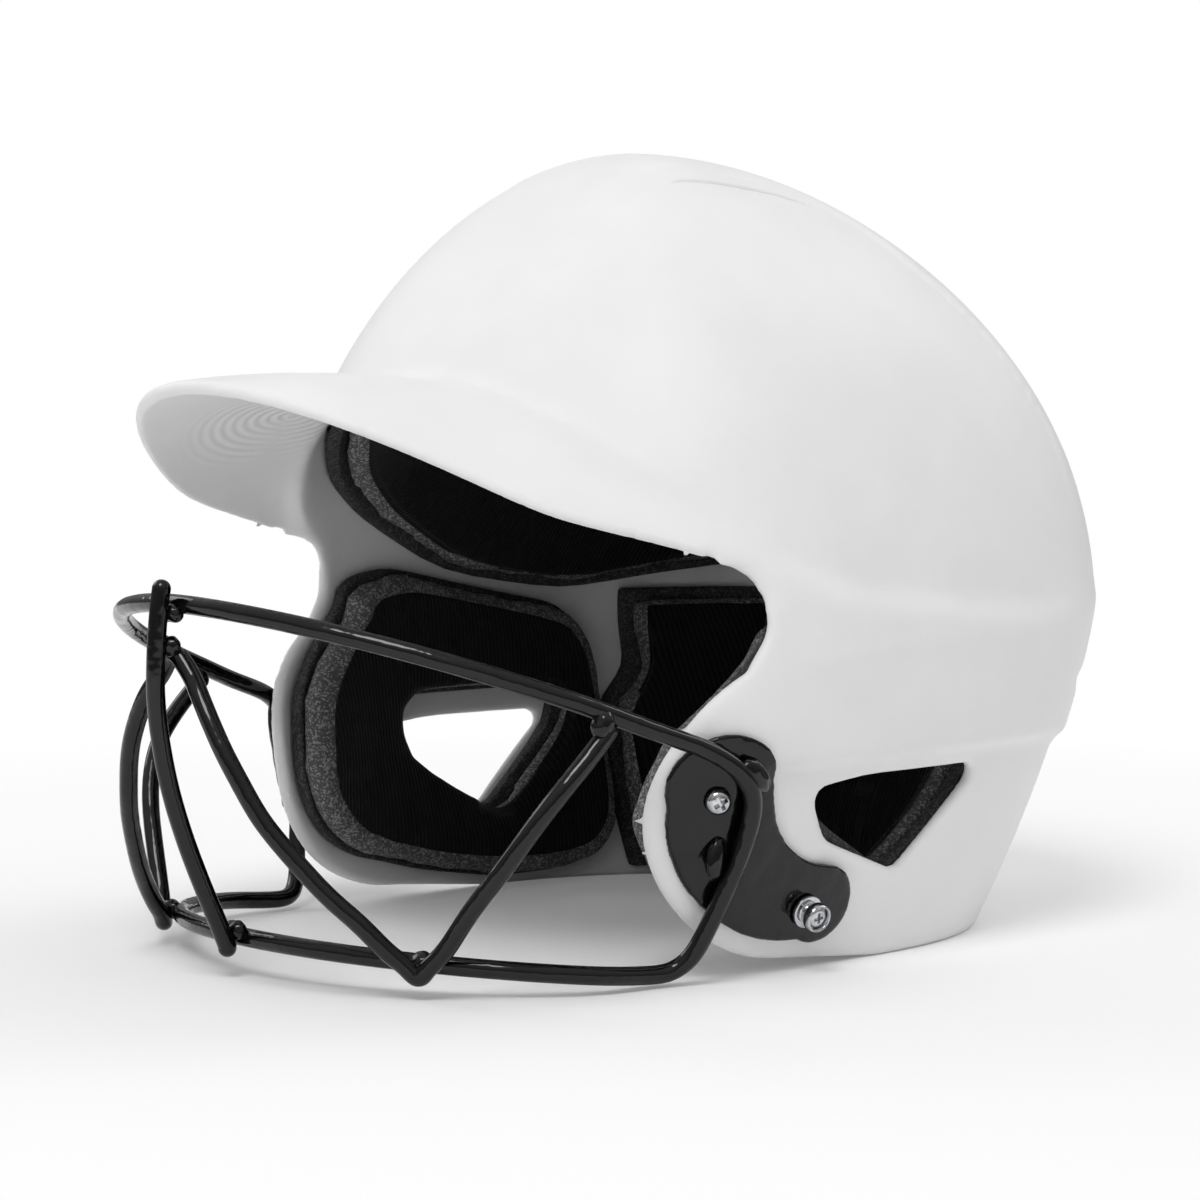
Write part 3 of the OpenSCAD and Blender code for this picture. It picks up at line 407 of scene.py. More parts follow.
# The shell seen from the side, as outlines of (distance back, height): what the flap adds to the
# face's edge, what the notch over it and the face opening take, and the ear hole
FLAP = circle(38, 47.5, 47, 44, 240)
NOTCH = circle(9, 99, 11.5)
BROW_CUT = [wall_point(turn, ledge_height(turn), 0).yz - Vector((0, 7 + 8 * ease((turn - 20) / 46)))
            for turn in range(0, 67, 3)]
FACE = ([Vector((-400, -400)), Vector((-400, 160.5))] + BROW_CUT
        + [Vector(q) for q in ((18.4, 105.6), (18.4, 92.4), (15, 87.1), (12, 81.8), (12, 47.5),
                               (38, 47.5), (38, 3.5), (75, 0), (75, -400))])
# The ear hole is drawn tight round these rounds of (distance back, height, radius)
EAR_ROUNDS = ((44, 48.5, 4), (60, 46.5, 8), (50.5, 42.5, 7), (100, 51.5, 3), (75.3, 29, 3))
corners = [p for y, z, radius in EAR_ROUNDS for p in circle(y, z, radius)]
hull = [corners[k] for k in convex_hull_2d(corners)]
EAR_HOLE = []
for a, b in zip(hull, hull[1:] + hull[:1]):
    parts = max(round((b - a).length), 1)
    EAR_HOLE += [a.lerp(b, k / parts) for k in range(parts)]
# The front of the hole is one even bend; its two rear corners stay tight
for _ in range(40):
    EAR_HOLE = [p.lerp(between(EAR_HOLE, k), 0.5 * (1 - ease((p.x - 70) / 12)))
                for k, p in enumerate(EAR_HOLE)]


# Stands for a rim too far off to count
FAR = 99


def beyond(p, outline):
    """Distance of a point outside an outline, less than zero inside it."""
    nearest, inside = 1e9, False
    for a, b in zip(outline, outline[1:] + outline[:1]):
        t = min(max((p - a).dot(b - a) / (b - a).length_squared, 0), 1)
        nearest = min(nearest, (p - a.lerp(b, t)).length_squared)
        if (a.y > p.y) != (b.y > p.y) and p.x < a.x + (p.y - a.y) / (b.y - a.y) * (b.x - a.x):
            inside = not inside
    return -math.sqrt(nearest) if inside else math.sqrt(nearest)


def in_wall(y, z):
    """Distance from the nearest rim of the wall, seen from the side; above zero on the wall."""
    p = Vector((y, z))
    face = max(min(beyond(p, FACE), beyond(p, NOTCH)), -beyond(p, FLAP)) if y < 80 else FAR
    return min(face, beyond(p, EAR_HOLE) if 30 < y < 112 and z < 70 else FAR, z)


def middle_sheet():
    """The sheet in the middle of the wall, ending half a wall short of every rim."""
    sheet = wall_form(-WALL / 2)
    whole = BVHTree.FromBMesh(sheet)
    cut = [f for f in sheet.faces if in_wall(*from_side(f.calc_center_median())) < WALL / 2]
    bmesh.ops.delete(sheet, geom=cut, context="FACES")
    for v in [v for v in sheet.verts if v.is_boundary]:
        for _ in range(4):
            y, z = from_side(v.co)
            short = in_wall(y, z) - WALL / 2
            slope = Vector((in_wall(y + 0.05, z) - in_wall(y - 0.05, z),
                            in_wall(y, z + 0.05) - in_wall(y, z - 0.05))) * 10
            if slope.length < 0.1:
                break
            slope.normalize()
            v.co = whole.find_nearest(v.co - Vector((0, slope.x, slope.y)) * short * MM)[0]
    return sheet


def middle_of_brim():
    """The same sheet in the brim, half a wall short of its rim."""
    def point(u, v):
        across = 2 * u - 1
        length = max((brim_point(across, 1) - brim_point(across, 0)).length, WALL)
        return brim_point(across, v * (1 - WALL / 2 / length)) - Vector((0, 0, WALL / 2))

    return form_of(200, 40, point)


SHELL_CELL = 1.8
shell = recast(cast, SHELL_CELL * MM)
relax(shell, shell.verts, 2)
# Every skin of the wall goes back to its true form, and every rim to half a wall round its middle
FORMS = [BVHTree.FromBMesh(form)
         for form in (wall_form(0), wall_form(-WALL), brim_form(0), brim_form(WALL))]
MIDDLES = [BVHTree.FromBMesh(middle_sheet()), BVHTree.FromBMesh(middle_of_brim())]
MARKS = ("brim_under", "on_rim", "at_root")
for name in MARKS:
    shell.verts.layers.float.new(name)
under_brim, on_rim, at_root = (shell.verts.layers.float[name] for name in MARKS)
shell.normal_update()
# In metres: how far off a skin is looked for, and how near wall and brim come at the root,
# above and below
SEARCH, ROOT_ABOVE, ROOT_BELOW = 0.006, 0.0055, 0.004
# A rim's points lie this near to and this far from the middle sheet, and not straight over it
RIM_FROM, RIM_TO, STRAIGHT = 0.0005, 0.0045, 0.97
# A skin's points lie this near to it, and no point moves farther than this
SKIN_NEAR, LONGEST_MOVE = 0.0014, 0.0016


def settle(verts):
    """Puts points of the wall on its skins and round its rims, and marks rims and brim's root."""
    moved = {}
    for v in verts:
        hits = [form.find_nearest(v.co, SEARCH) for form in FORMS]
        gaps = [hit[3] if hit[0] else 1 for hit in hits]
        nearest = min(range(4), key=lambda k: gaps[k])
        v[under_brim] = 1 if nearest == 3 else 0
        joint = (gaps[0] < ROOT_ABOVE and gaps[2] < ROOT_ABOVE
                 or gaps[1] < ROOT_BELOW and gaps[3] < ROOT_BELOW)
        v[at_root] = 1 if joint else 0
        of_wall, of_brim = (middle.find_nearest(v.co) for middle in MIDDLES)
        on_brim = of_brim[3] < of_wall[3]
        centre, across_wall = (of_brim if on_brim else of_wall)[:2]
        out = v.co - centre
        way = out.normalized()
        to = v.co.copy()
        if not joint and RIM_FROM < out.length < RIM_TO and abs(way.dot(across_wall)) < STRAIGHT:
            # Past the middle's edge: round it, with the half thickness of the wall on that side
            skins = FORMS[2:] if on_brim else FORMS[:2]
            upper, lower = (form.find_nearest(centre) for form in skins)
            share = (way.dot((upper[0] - centre).normalized()) + 1) / 2
            to = centre + way * (lower[3] + (upper[3] - lower[3]) * share)
            v[on_rim] = 1
        elif gaps[nearest] < SKIN_NEAR or joint and gaps[nearest] < 1:
            to = hits[nearest][0].copy()
            if nearest == 0 and not joint:
                at = to / MM
                to += v.normal * relief(Vector((at.x, at.y + MIDDLE_Y, at.z))) * MM
        if (to - v.co).length < LONGEST_MOVE or joint:
            moved[v] = to
    for v, to in moved.items():
        v.co = to


settle(shell.verts)
relax(shell, [v for v in shell.verts if v[at_root] > 0.5], 10)
# Rims are 4 mm round, so their cells are halved to draw them evenly
rim_edges = [e for e in shell.edges if e.verts[0][on_rim] > 0.5 and e.verts[1][on_rim] > 0.5]
bmesh.ops.subdivide_edges(shell, edges=rim_edges, cuts=1, use_grid_fill=True)
shell.normal_update()
settle([v for v in shell.verts if v[on_rim] > 0.5])
relax(shell, [v for v in shell.verts if v[at_root] > 0], 8)
relax(shell, [v for v in shell.verts if v[on_rim] <= 0.5], 1, 0.3)
relax(shell, [v for v in shell.verts if v[on_rim] > 0.5], 1, 0.3)
# Where two rims meet, a point can land on the wrong one: it goes back between its neighbours
for _ in range(6):
    for v in shell.verts:
        if v[on_rim] > 0:
            middle = sum((e.other_vert(v).co for e in v.link_edges), Vector()) / len(v.link_edges)
            if (v.co - middle).length > 0.5 * MM:
                v.co = middle
body = shown(shell, "shell_wall")
for side in (-1, 1):
    blade = shown(vent_cutter(side), "vent_blade")
    slit = body.modifiers.new("slit", "BOOLEAN")
    slit.object, slit.operation, slit.solver = blade, "DIFFERENCE", "EXACT"
thin = body.modifiers.new("thin", "DECIMATE")
thin.ratio = 0.6
slitted = applied(body)
for blade in [o for o in bpy.data.objects if o.name.startswith("vent_blade")]:
    bpy.data.objects.remove(blade)
shell_wall = shown(slitted, "shell_moulding")
shell_wall.data.materials.append(matt_white_abs())
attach(shell_wall, "root")
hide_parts("shell")


# Padding: firm closed-cell foam glued to the wall, thick reticulated foam on it and a black
# ribbed knit laminated on the face. The soft foam shows its cut sides and bulges in the
# middle; each face is drawn in at its edge where knit and foam are heat-pressed together.

def cut_foam(name, dark, light, cell, rough):
    """Die-cut black foam: open cells of the given size, some of them catching the light."""
    m = new_material(name)
    at = add(m, "ShaderNodeTexCoord", {}).outputs["Object"]
    cells = add(m, "ShaderNodeTexVoronoi", {"Vector": at, "Scale": 1 / cell}).outputs["Color"]
    tone = add(m, "ShaderNodeSeparateColor", {"Color": cells}).outputs["Red"]
    patch = add(m, "ShaderNodeTexNoise", {"Vector": at, "Scale": 130, "Detail": 4}).outputs["Fac"]
    patch = add(m, "ShaderNodeMath", {0: patch, 1: 0.3, 2: 0.7},
                operation="MULTIPLY_ADD").outputs[0]
    mixed = add(m, "ShaderNodeMath", {0: tone, 1: patch}, operation="MULTIPLY").outputs[0]
    fuzz = add(m, "ShaderNodeTexNoise", {"Vector": at, "Scale": 0.7 / cell,
                                         "Detail": 3}).outputs["Fac"]
    dents = add(m, "ShaderNodeBump", {"Height": fuzz, "Distance": 0.0006,
                                      "Strength": 0.8}).outputs["Normal"]
    finish(m, add(m, "ShaderNodeBsdfPrincipled", {
        "Base Color": ramp(m, mixed, (0.1, dark), (0.48, dark), (0.75, light)),
        "Roughness": rough, "Specular IOR Level": 0.25, "Normal": dents}))
    return m


RIB_PITCH = 0.0015


def ribbed_knit():
    """Brushed polyester knit: nearly black, ribs 1.5 mm apart along the pad, a soft sheen at the
    edges. Painted shade darkens the base colour in the grooves between the ribs, and painted light
    lifts it on their crests. The ribs follow the attribute that each cover carries across its own
    width."""
    m = new_material("ribbed_black_knit")
    at = add(m, "ShaderNodeTexCoord", {}).outputs["Object"]
    across = add(m, "ShaderNodeAttribute", {}, attribute_name="across").outputs["Fac"]
    turns = add(m, "ShaderNodeMath", {0: across, 1: 2 * math.pi / RIB_PITCH},
                operation="MULTIPLY").outputs[0]
    ribs = add(m, "ShaderNodeMath", {0: turns}, operation="SINE").outputs[0]
    lint = add(m, "ShaderNodeTexNoise", {"Vector": at, "Scale": 900, "Detail": 3}).outputs["Fac"]
    both = add(m, "ShaderNodeMath", {0: ribs, 1: 0.5, 2: lint}, operation="MULTIPLY_ADD").outputs[0]
    knit = add(m, "ShaderNodeBump", {"Height": both, "Distance": 0.0003,
                                     "Strength": 0.6}).outputs["Normal"]
    # Base colour from ribs and lint: painted shade in the rib grooves, painted light on the crests,
    # random tone from the lint.
    finish(m, add(m, "ShaderNodeBsdfPrincipled", {
        "Base Color": ramp(m, both, (0.1, "#0b0b0c"), (1.0, "#1b1b1d")), "Roughness": 0.92,
        "Specular IOR Level": 0.15, "Sheen Weight": 0.08, "Sheen Roughness": 0.5, "Normal": knit}))
    return m


FIRM = cut_foam("firm_foam_black", "#343435", "#565657", 0.0005, 0.75)
SOFT = cut_foam("soft_foam_charcoal", "#565657", "#939393", 0.00055, 0.9)
KNIT = ribbed_knit()


def in_quads(node, cuts):
    """A CAD pad layer with its triangles paired and its cells divided."""
    bm = merged_copy(node)
    bmesh.ops.join_triangles(bm, faces=bm.faces, angle_face_threshold=3.1,
                             angle_shape_threshold=3.1)
    bmesh.ops.subdivide_edges(bm, edges=bm.edges, cuts=cuts, use_grid_fill=True)
    return bm


CLOTH_STEPS = 20


def swollen(bm, cell, limit):
    """Soft foam pressed out by its own spring: a short cloth run under pressure, limited in travel.
    The work starts from even cells with their corners rounded."""
    start = recast(bm, cell)
    relax(start, start.verts, 4)
    before = [v.co.copy() for v in start.verts]
    obj = shown(start, "swelling")
    cloth = obj.modifiers.new("swelling", "CLOTH")
    cloth.settings.quality, cloth.settings.mass = 6, 0.2
    cloth.settings.tension_stiffness = cloth.settings.compression_stiffness = 25
    cloth.settings.shear_stiffness, cloth.settings.bending_stiffness = 12, 2
    cloth.settings.use_pressure, cloth.settings.uniform_pressure_force = True, 4
    cloth.settings.effector_weights.gravity = 0
    cloth.point_cache.frame_start, cloth.point_cache.frame_end = 1, CLOTH_STEPS
    for step in range(1, CLOTH_STEPS + 1):
        bpy.context.scene.frame_set(step)
    done = applied(obj)
    bpy.context.scene.frame_set(1)
    for v, was in zip(done.verts, before):
        travel = v.co - was
        if travel.length > limit:
            v.co = was + travel * (limit / travel.length)
    relax(done, done.verts, 1, 0.3)
    return done


# Soft foam: the cell of its cloth and how far it may swell
PAD_CELL, SWELL = 2.6, 1.2
# How far the knit stops short of the cut foam's edge. Round a point on a straight edge, the cloth
# within the patch's radius has its middle 6 mm in from the edge
KNIT_INSET = {"brow": 3, "crown": 2, "nape": 2.5, "ear": 7, "rear": 3.5}
PATCH_RADIUS, PATCH_MIDDLE = 14, 6


def kd_of(places):
    """A search tree over these places."""
    tree = KDTree(len(places))
    for k, at in enumerate(places):
        tree.insert(at, k)
    tree.balance()
    return tree


def rib_place(v, pad):
    """Where a point of a cover lies across its ribs, in metres."""
    if pad.startswith("brow") or pad.startswith("nape"):
        slant = 0.6 * v.z if pad.startswith("brow") else 0
        return math.atan2(v.x, 0.01 - v.y) * 0.11 + slant
    if pad.startswith("crown"):
        return v.x
    return v.y


def pad_pieces(pad, side):
    """The three layers of one pad, from the CAD solids of the same name."""
    def node(layer):
        return f"{pad}_{layer}{side}"

    bevelled = shown(in_quads(node("foam"), 1), f"{node('foam')}_die_cut")
    bevelled.data.materials.append(FIRM)
    soften = bevelled.modifiers.new("soften", "SUBSURF")
    soften.levels = soften.render_levels = 1
    core = swollen(merged_copy(node("pad")), PAD_CELL * MM, SWELL * MM)
    core.normal_update()
    skin = BVHTree.FromBMesh(core)
    cover = in_quads(node("fabric"), 4)
    foam_side = BVHTree.FromBMesh(merged_copy(node("pad")))
    lining = {v: foam_side.find_nearest(v.co)[3] < 0.8 * MM for v in cover.verts}
    # The knit is cut short of the foam's edge: every point moves towards the middle of its patch
    patches = [(f.calc_center_median(), f.calc_area()) for f in cover.faces]
    near = kd_of([centre for centre, _ in patches])
    pulled = {}
    for v in cover.verts:
        around = [patches[k] for _, k, _ in near.find_range(v.co, PATCH_RADIUS * MM)]
        total = sum(area for _, area in around)
        weighed = sum((centre * area for centre, area in around), Vector())
        middle = weighed / total if total else v.co
        by_hole = beyond(Vector(from_side(v.co)), EAR_HOLE) if pad == "ear" else FAR
        share = 0.25 + 0.75 * ease((by_hole - 4) / 16)
        pulled[v] = v.co + (middle - v.co) * KNIT_INSET[pad] / PATCH_MIDDLE * share
    for v, at in pulled.items():
        spot, normal, _, _ = skin.find_nearest(at)
        v.co = spot + normal * (0.1 if lining[v] else 1.0) * MM
    relax(cover, cover.verts, 3)
    across = cover.verts.layers.float.new("across")
    for v in cover.verts:
        v[across] = rib_place(v.co, pad)
    cushion = shown(core, f"{node('pad')}_soft_foam")
    cushion.data.materials.append(SOFT)
    knit = shown(cover, f"{node('fabric')}_knit")
    knit.data.materials.append(KNIT)
    for piece, layer, finish_slot in ((bevelled, "foam", "firm_foam"),
                                      (cushion, "pad", "soft_foam"), (knit, "fabric", "fabric")):
        if piece is not bevelled:
            smooth = piece.modifiers.new("smooth", "SUBSURF")
            smooth.levels = smooth.render_levels = 1
        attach(piece, "root")
        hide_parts(node(layer))


for pad, sides in (("brow", [""]), ("crown", [""]), ("nape", [""]),
                   ("ear", ["_left", "_right"]), ("rear", ["_left", "_right"])):
    for side in sides:
        pad_pieces(pad, side)


# Guard: 5.2 mm steel wire bent on a former, lapped and arc-welded, then dipped in gloss black.
# One closed loop makes both hoops and the sides; a bar down the middle and a W wire stiffen it.

WIRE = 2.6
# Beside a plate: how far its face stands off the skin, how far the wire's middle stands off the
# face, and the slant of both to the side
PLATE_FACE, WIRE_STAND, SLANT = 2.8, 2.9, 1.1
# The upper hoop: where its sides start, its reach forward, its half width, how square it is, and
# its height in front with its slope towards the back
HOOP_Y, HOOP_REACH, HOOP_HALF_WIDTH, HOOP_POWER = -18, 84, 97, 1.09
HOOP_FRONT_Z, HOOP_SLOPE = 104, 0.38
# The lower hoop: its reach forward, its half width and how far it rises to the front
LOW_REACH, LOW_HALF_WIDTH, LOW_RISE = 81.5, 91, 8.5


def side_place(y, z, stepped=True):
    """Half width of the shell's skin at a place seen from the side, with or without its steps."""
    width, rear, front = sections(z, 0)
    reach, power = (rear, 2.6) if y > WIDEST_Y else (front, 2.4 + 0.4 * ease((WIDEST_Z - z) / 30))
    share = min(abs(y - WIDEST_Y) / reach, 1)
    turn = math.degrees(math.acos(share ** (power / 2)))
    turn = 180 - turn if y > WIDEST_Y else turn
    half_width = width * max(1 - share ** power, 0) ** (1 / power)
    return half_width + (stand_off(turn, z, False) if stepped else 0)


def upper_hoop(turn):
    """The upper hoop at a turn from the front towards the wearer's left."""
    s, c = math.sin(math.radians(turn)), math.cos(math.radians(turn))
    y = HOOP_Y - HOOP_REACH * c ** HOOP_POWER
    back = y - (HOOP_Y - HOOP_REACH)
    return Vector((HOOP_HALF_WIDTH * s ** HOOP_POWER, y, HOOP_FRONT_Z - HOOP_SLOPE * back))


def lower_hoop(turn):
    """The lower hoop, whose sides rest on the floor."""
    s, c = math.sin(math.radians(turn)), math.cos(math.radians(turn))
    y = -LOW_REACH * c
    return Vector((LOW_HALF_WIDTH * s, y, WIRE - LOW_RISE * y / LOW_REACH))


def beside_plate(y, z, spare=0):
    """The middle of the wire where it passes an ear plate."""
    return Vector((side_place(y, z) + PLATE_FACE + WIRE_STAND * SLANT + spare, y, z))


def on_guard(turn, rise, out):
    """A point between the hoops: share of the rise, and millimetres out from there."""
    way = math.radians(turn)
    outward = Vector((math.sin(way), -math.cos(way), 0))
    return lower_hoop(turn).lerp(upper_hoop(turn), rise) + outward * out


LOOP_SIDE = [upper_hoop(t) for t in range(0, 73, 12)]
LOOP_SIDE += [upper_hoop(82), upper_hoop(82) + Vector((3.2, 12.6, -5))]
LOOP_SIDE += [beside_plate(y, z) for y, z in ((-2.8, 66.5), (4.3, 62.3), (9.9, 57), (12.6, 51),
                                              (12.7, 44), (10.9, 35.5))]
LOOP_SIDE += [beside_plate(y, z, 0.2) for y, z in ((8.8, 28), (6.1, 19), (4.1, 12))]
LOOP_SIDE += [Vector(p) for p in ((91.3, 1.8, 7.2), (88.4, -2.6, 3.8), (87, -11, 3.8))]
LOOP_SIDE += [lower_hoop(t) for t in (72, 60, 48, 36, 24, 12, 0)]
BAR = [Vector((0, y, z)) for y, z in ((-106.9, 108.2), (-107.9, 102), (-108.9, 90), (-109, 77),
                                      (-106.7, 62), (-103, 48), (-96.5, 31), (-87.2, 11.1),
                                      (-86.4, 8.5))]
W_SIDE = [upper_hoop(82) + Vector((-0.8, -2.4, -3.8))]
W_SIDE += [on_guard(*q) for q in (
    (73, 0.79, 4.2), (66, 0.63, 7.8), (60, 0.47, 8.7), (55, 0.33, 7.9), (49.7, 0.2, 6.4),
    (44.5, 0.06, 5.6), (41, 0, 5.5), (39, -0.04, 5.5), (37, 0, 5.5), (34.5, 0.04, 6.8),
    (31.2, 0.12, 8.6), (27.2, 0.19, 9.9), (23.7, 0.27, 11), (20.5, 0.35, 12), (17.9, 0.42, 12.3),
    (15.5, 0.51, 12), (13.1, 0.59, 11.2), (10.5, 0.67, 9.4), (7.8, 0.74, 7.2), (4.4, 0.8, 4.4))]
W_SIDE += [Vector((0, -103.4, 91.5))]


def smooth_route(points, closed=False, steps=8):
    """Points of a Catmull-Rom line through the bends."""
    route, n = [], len(points)
    for i in range(n if closed else n - 1):
        near = [points[k % n] if closed else points[min(max(k, 0), n - 1)]
                for k in range(i - 1, i + 3)]
        for k in range(steps):
            t = k / steps
            route.append(0.5 * (2 * near[1] + (near[2] - near[0]) * t
                                + (2 * near[0] - 5 * near[1] + 4 * near[2] - near[3]) * t * t
                                + (3 * near[1] - near[0] - 3 * near[2] + near[3]) * t ** 3))
    return route if closed else route + [points[-1]]


def drawn_straight(route, closed):
    """Wire springs out of small kinks: the route's bends even out, its ends stay."""
    kept = () if closed else (0, len(route) - 1)
    for _ in range(14):
        route = [p if k in kept else p.lerp(between(route, k), 0.5) for k, p in enumerate(route)]
    return route


def mirrored(points):
    """The same points over the wearer's right, from the last back to the first."""
    return [Vector((-p.x, p.y, p.z)) for p in reversed(points)]


def gloss_black_dip():
    """Dipped vinyl over steel: deep gloss black that pools, so its highlights waver over 8 mm."""
    m = new_material("gloss_black_coating")
    at = add(m, "ShaderNodeTexCoord", {}).outputs["Object"]
    pool = add(m, "ShaderNodeTexNoise", {"Vector": at, "Scale": 120, "Detail": 2}).outputs["Fac"]
    dust = add(m, "ShaderNodeTexNoise", {"Vector": at, "Scale": 1100, "Detail": 2}).outputs["Fac"]
    waver = add(m, "ShaderNodeBump", {"Height": pool, "Distance": 0.0009,
                                      "Strength": 0.55}).outputs["Normal"]
    finish(m, add(m, "ShaderNodeBsdfPrincipled", {
        "Base Color": ramp(m, dust, (0.4, "#050506"), (0.75, "#0c0c0d")),
        "Roughness": ramp(m, pool, (0.3, "#505050"), (0.7, "#666666")), "IOR": 1.5,
        "Specular IOR Level": 0.45, "Normal": waver}))
    return m


GLOSS_BLACK = gloss_black_dip()


def bent_wire(name, node, route, closed=False):
    """Round wire along a route, with round ends where it is open."""
    line = bpy.data.curves.new(name, "CURVE")
    line.dimensions, line.bevel_depth, line.bevel_resolution = "3D", WIRE * MM, 6
    line.use_fill_caps = True
    strand = line.splines.new("POLY")
    strand.points.add(len(route) - 1)
    route = drawn_straight(route, closed)
    for point, at in zip(strand.points, route):
        point.co = (*place(*at), 1)
    strand.use_cyclic_u = closed
    curve = bpy.data.objects.new(name, line)
    bpy.context.scene.collection.objects.link(curve)
    bent = applied(curve)
    if not closed:
        for end in (route[0], route[-1]):
            bmesh.ops.create_uvsphere(bent, u_segments=24, v_segments=12, radius=WIRE * MM,
                                      matrix=Matrix.Translation(place(*end)))
    wire = shown(bent, name)
    wire.data.materials.append(GLOSS_BLACK)
    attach(wire, "root")
    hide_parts(node)


LOOP = LOOP_SIDE + mirrored(LOOP_SIDE[1:-1])
bent_wire("guard_loop", "guard_loop_wire", smooth_route(LOOP, closed=True), closed=True)
bent_wire("guard_bar", "guard_center_bar", smooth_route(BAR))
bent_wire("guard_w", "guard_w_wire", smooth_route(W_SIDE + mirrored(W_SIDE[:-1])))


# Welds: a lump of filler wire on each side of a lap, and two along each side stretch of the
# loop on its plate, all under the same black coating.

def weld_lump(node, size, shift, lean):
    """A weld over the CAD bead: an uneven drop, size times the bead, stretched along its seam."""
    low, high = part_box(node)
    middle, radius = (low + high) / 2 + Vector(shift) * MM, (high.x - low.x) / 2
    lump = bmesh.new()
    bmesh.ops.create_icosphere(lump, subdivisions=4, radius=radius)
    seam = Vector(lean).to_track_quat("Z", "Y").to_matrix()
    for v in lump.verts:
        push = 1 + 0.16 * noise.noise(v.co * 420 + middle * 900) + 0.06 * noise.noise(v.co * 1300)
        v.co = middle + seam @ Vector((v.co.x * size[0], v.co.y * size[1], v.co.z * size[2])) * push
    piece = shown(lump, f"{node}_fillet")
    piece.data.materials.append(GLOSS_BLACK)
    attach(piece, "root")
    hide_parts(node)


# Each weld on the wearer's left: its size in beads, its shift in millimetres and its seam's way
WELDS = (("weld_bar_top", (1.75, 1.5, 1.6), (-1.9, 1.0, 0.9), (0, 0, 1)),
         ("weld_bar_low", (1.75, 1.5, 1.6), (-1.9, 1.0, -0.9), (0, 0, 1)),
         ("weld_arch", (1.75, 1.5, 1.8), (-1.9, 1.0, -0.7), (0, 0, 1)),
         ("weld_w", (1.9, 1.8, 2.4), (0, 2.2, 0.2), (0.2, 0.3, 1)),
         ("weld_v", (2.1, 1.8, 1.8), (0, 1.0, -1.9), (0, 0, 1)),
         ("plate_weld_upper", (1.25, 2.2, 3.6), (-0.3, -1.0, -0.8), (0, 0.7, -0.7)),
         ("plate_weld_lower", (1.25, 2.0, 3.8), (-0.3, 1.2, 0), (0, -0.3, -1)))
for side, sign in (("left", 1), ("right", -1)):
    for weld, size, (x, y, z), (lean_x, lean_y, lean_z) in WELDS:
        weld_lump(f"{weld}_{side}", size, (x * sign, y, z), (lean_x * sign, lean_y, lean_z))


# Ear plates: 2.5 mm steel blanked to the flap's outline, pressed to its curve and dipped with
# the guard. The coating rounds every edge. One screw holds each in front, the strap stud behind.

PLATE_CELL = 0.45
# The coating pools round the welds within this reach, in metres
POOL_REACH = 0.016
for side in ("left", "right"):
    blank = recast(merged_copy(f"ear_plate_{side}"), PLATE_CELL * MM)
    relax(blank, blank.verts, 18)
    pools = [sum(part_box(f"plate_weld_{height}_{side}"), Vector()) / 2
             for height in ("upper", "lower")]
    blank.normal_update()
    for v in blank.verts:
        close = max(math.exp(-((v.co - pool).length / POOL_REACH) ** 2) for pool in pools)
        v.co += v.normal * (0.1 + 0.5 * close) * noise.noise(v.co * 170) * MM
    plate = shown(blank, f"ear_plate_{side}_dipped")
    plate.data.materials.append(GLOSS_BLACK)
    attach(plate, "root")
    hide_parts(f"ear_plate_{side}")


# Fasteners: nickel-chromed steel. A pan-head screw with a cross recess in front, and behind it
# the hollow snap stud of a chin strap, with its own screw sunk in the head. Flanged nuts
# behind the wall sit in the firm foam.

def bright_plating():
    """Nickel-chrome on turned steel: bright, with hairline turning marks 0.25 mm apart."""
    m = new_material("nickel_chrome")
    at = add(m, "ShaderNodeTexCoord", {}).outputs["Object"]
    smear = add(m, "ShaderNodeTexNoise", {"Vector": at, "Scale": 500, "Detail": 3}).outputs["Fac"]
    hair = add(m, "ShaderNodeTexNoise", {"Vector": at, "Scale": 4000, "Detail": 1}).outputs["Fac"]
    marks = add(m, "ShaderNodeBump", {"Height": hair, "Distance": 0.00003,
                                      "Strength": 0.4}).outputs["Normal"]
    finish(m, add(m, "ShaderNodeBsdfPrincipled", {
        "Base Color": ramp(m, smear, (0.3, "#b4b5b8"), (0.7, "#dcdde0")), "Metallic": 1,
        "Roughness": ramp(m, smear, (0.3, "#585858"), (0.7, "#7a7a7a")), "Normal": marks}))
    return m


BRIGHT = bright_plating()


def on_skin(y, z, sign):
    """Frame on the shell's skin: Z stands out of it, the origin is on it."""
    across = Vector((1, side_place(y - 0.5, z, False) - side_place(y + 0.5, z, False),
                     side_place(y, z - 0.5, False) - side_place(y, z + 0.5, False))).normalized()
    turn = (Matrix.Rotation(math.atan2(across.y, across.x), 4, "Z")
            @ Matrix.Rotation(math.acos(across.z), 4, "Y"))
    frame_here = Matrix.Translation((side_place(y, z), y - MIDDLE_Y, z)) @ turn
    return Matrix.Scale(MM, 4) @ Matrix.Scale(sign, 4, (1, 0, 0)) @ frame_here


def turned(profile):
    """A part off the lathe from its half profile, which ends on the axis or is closed."""
    bm = bmesh.new()
    points = [bm.verts.new((r, 0, h)) for r, h in profile]
    edges = [bm.edges.new(pair) for pair in zip(points, points[1:])]
    bmesh.ops.spin(bm, geom=points + edges, axis=(0, 0, 1), cent=(0, 0, 0), angle=2 * math.pi,
                   steps=48, use_merge=True)
    bmesh.ops.remove_doubles(bm, verts=bm.verts, dist=0.0005)
    bmesh.ops.recalc_face_normals(bm, faces=bm.faces)
    return bm


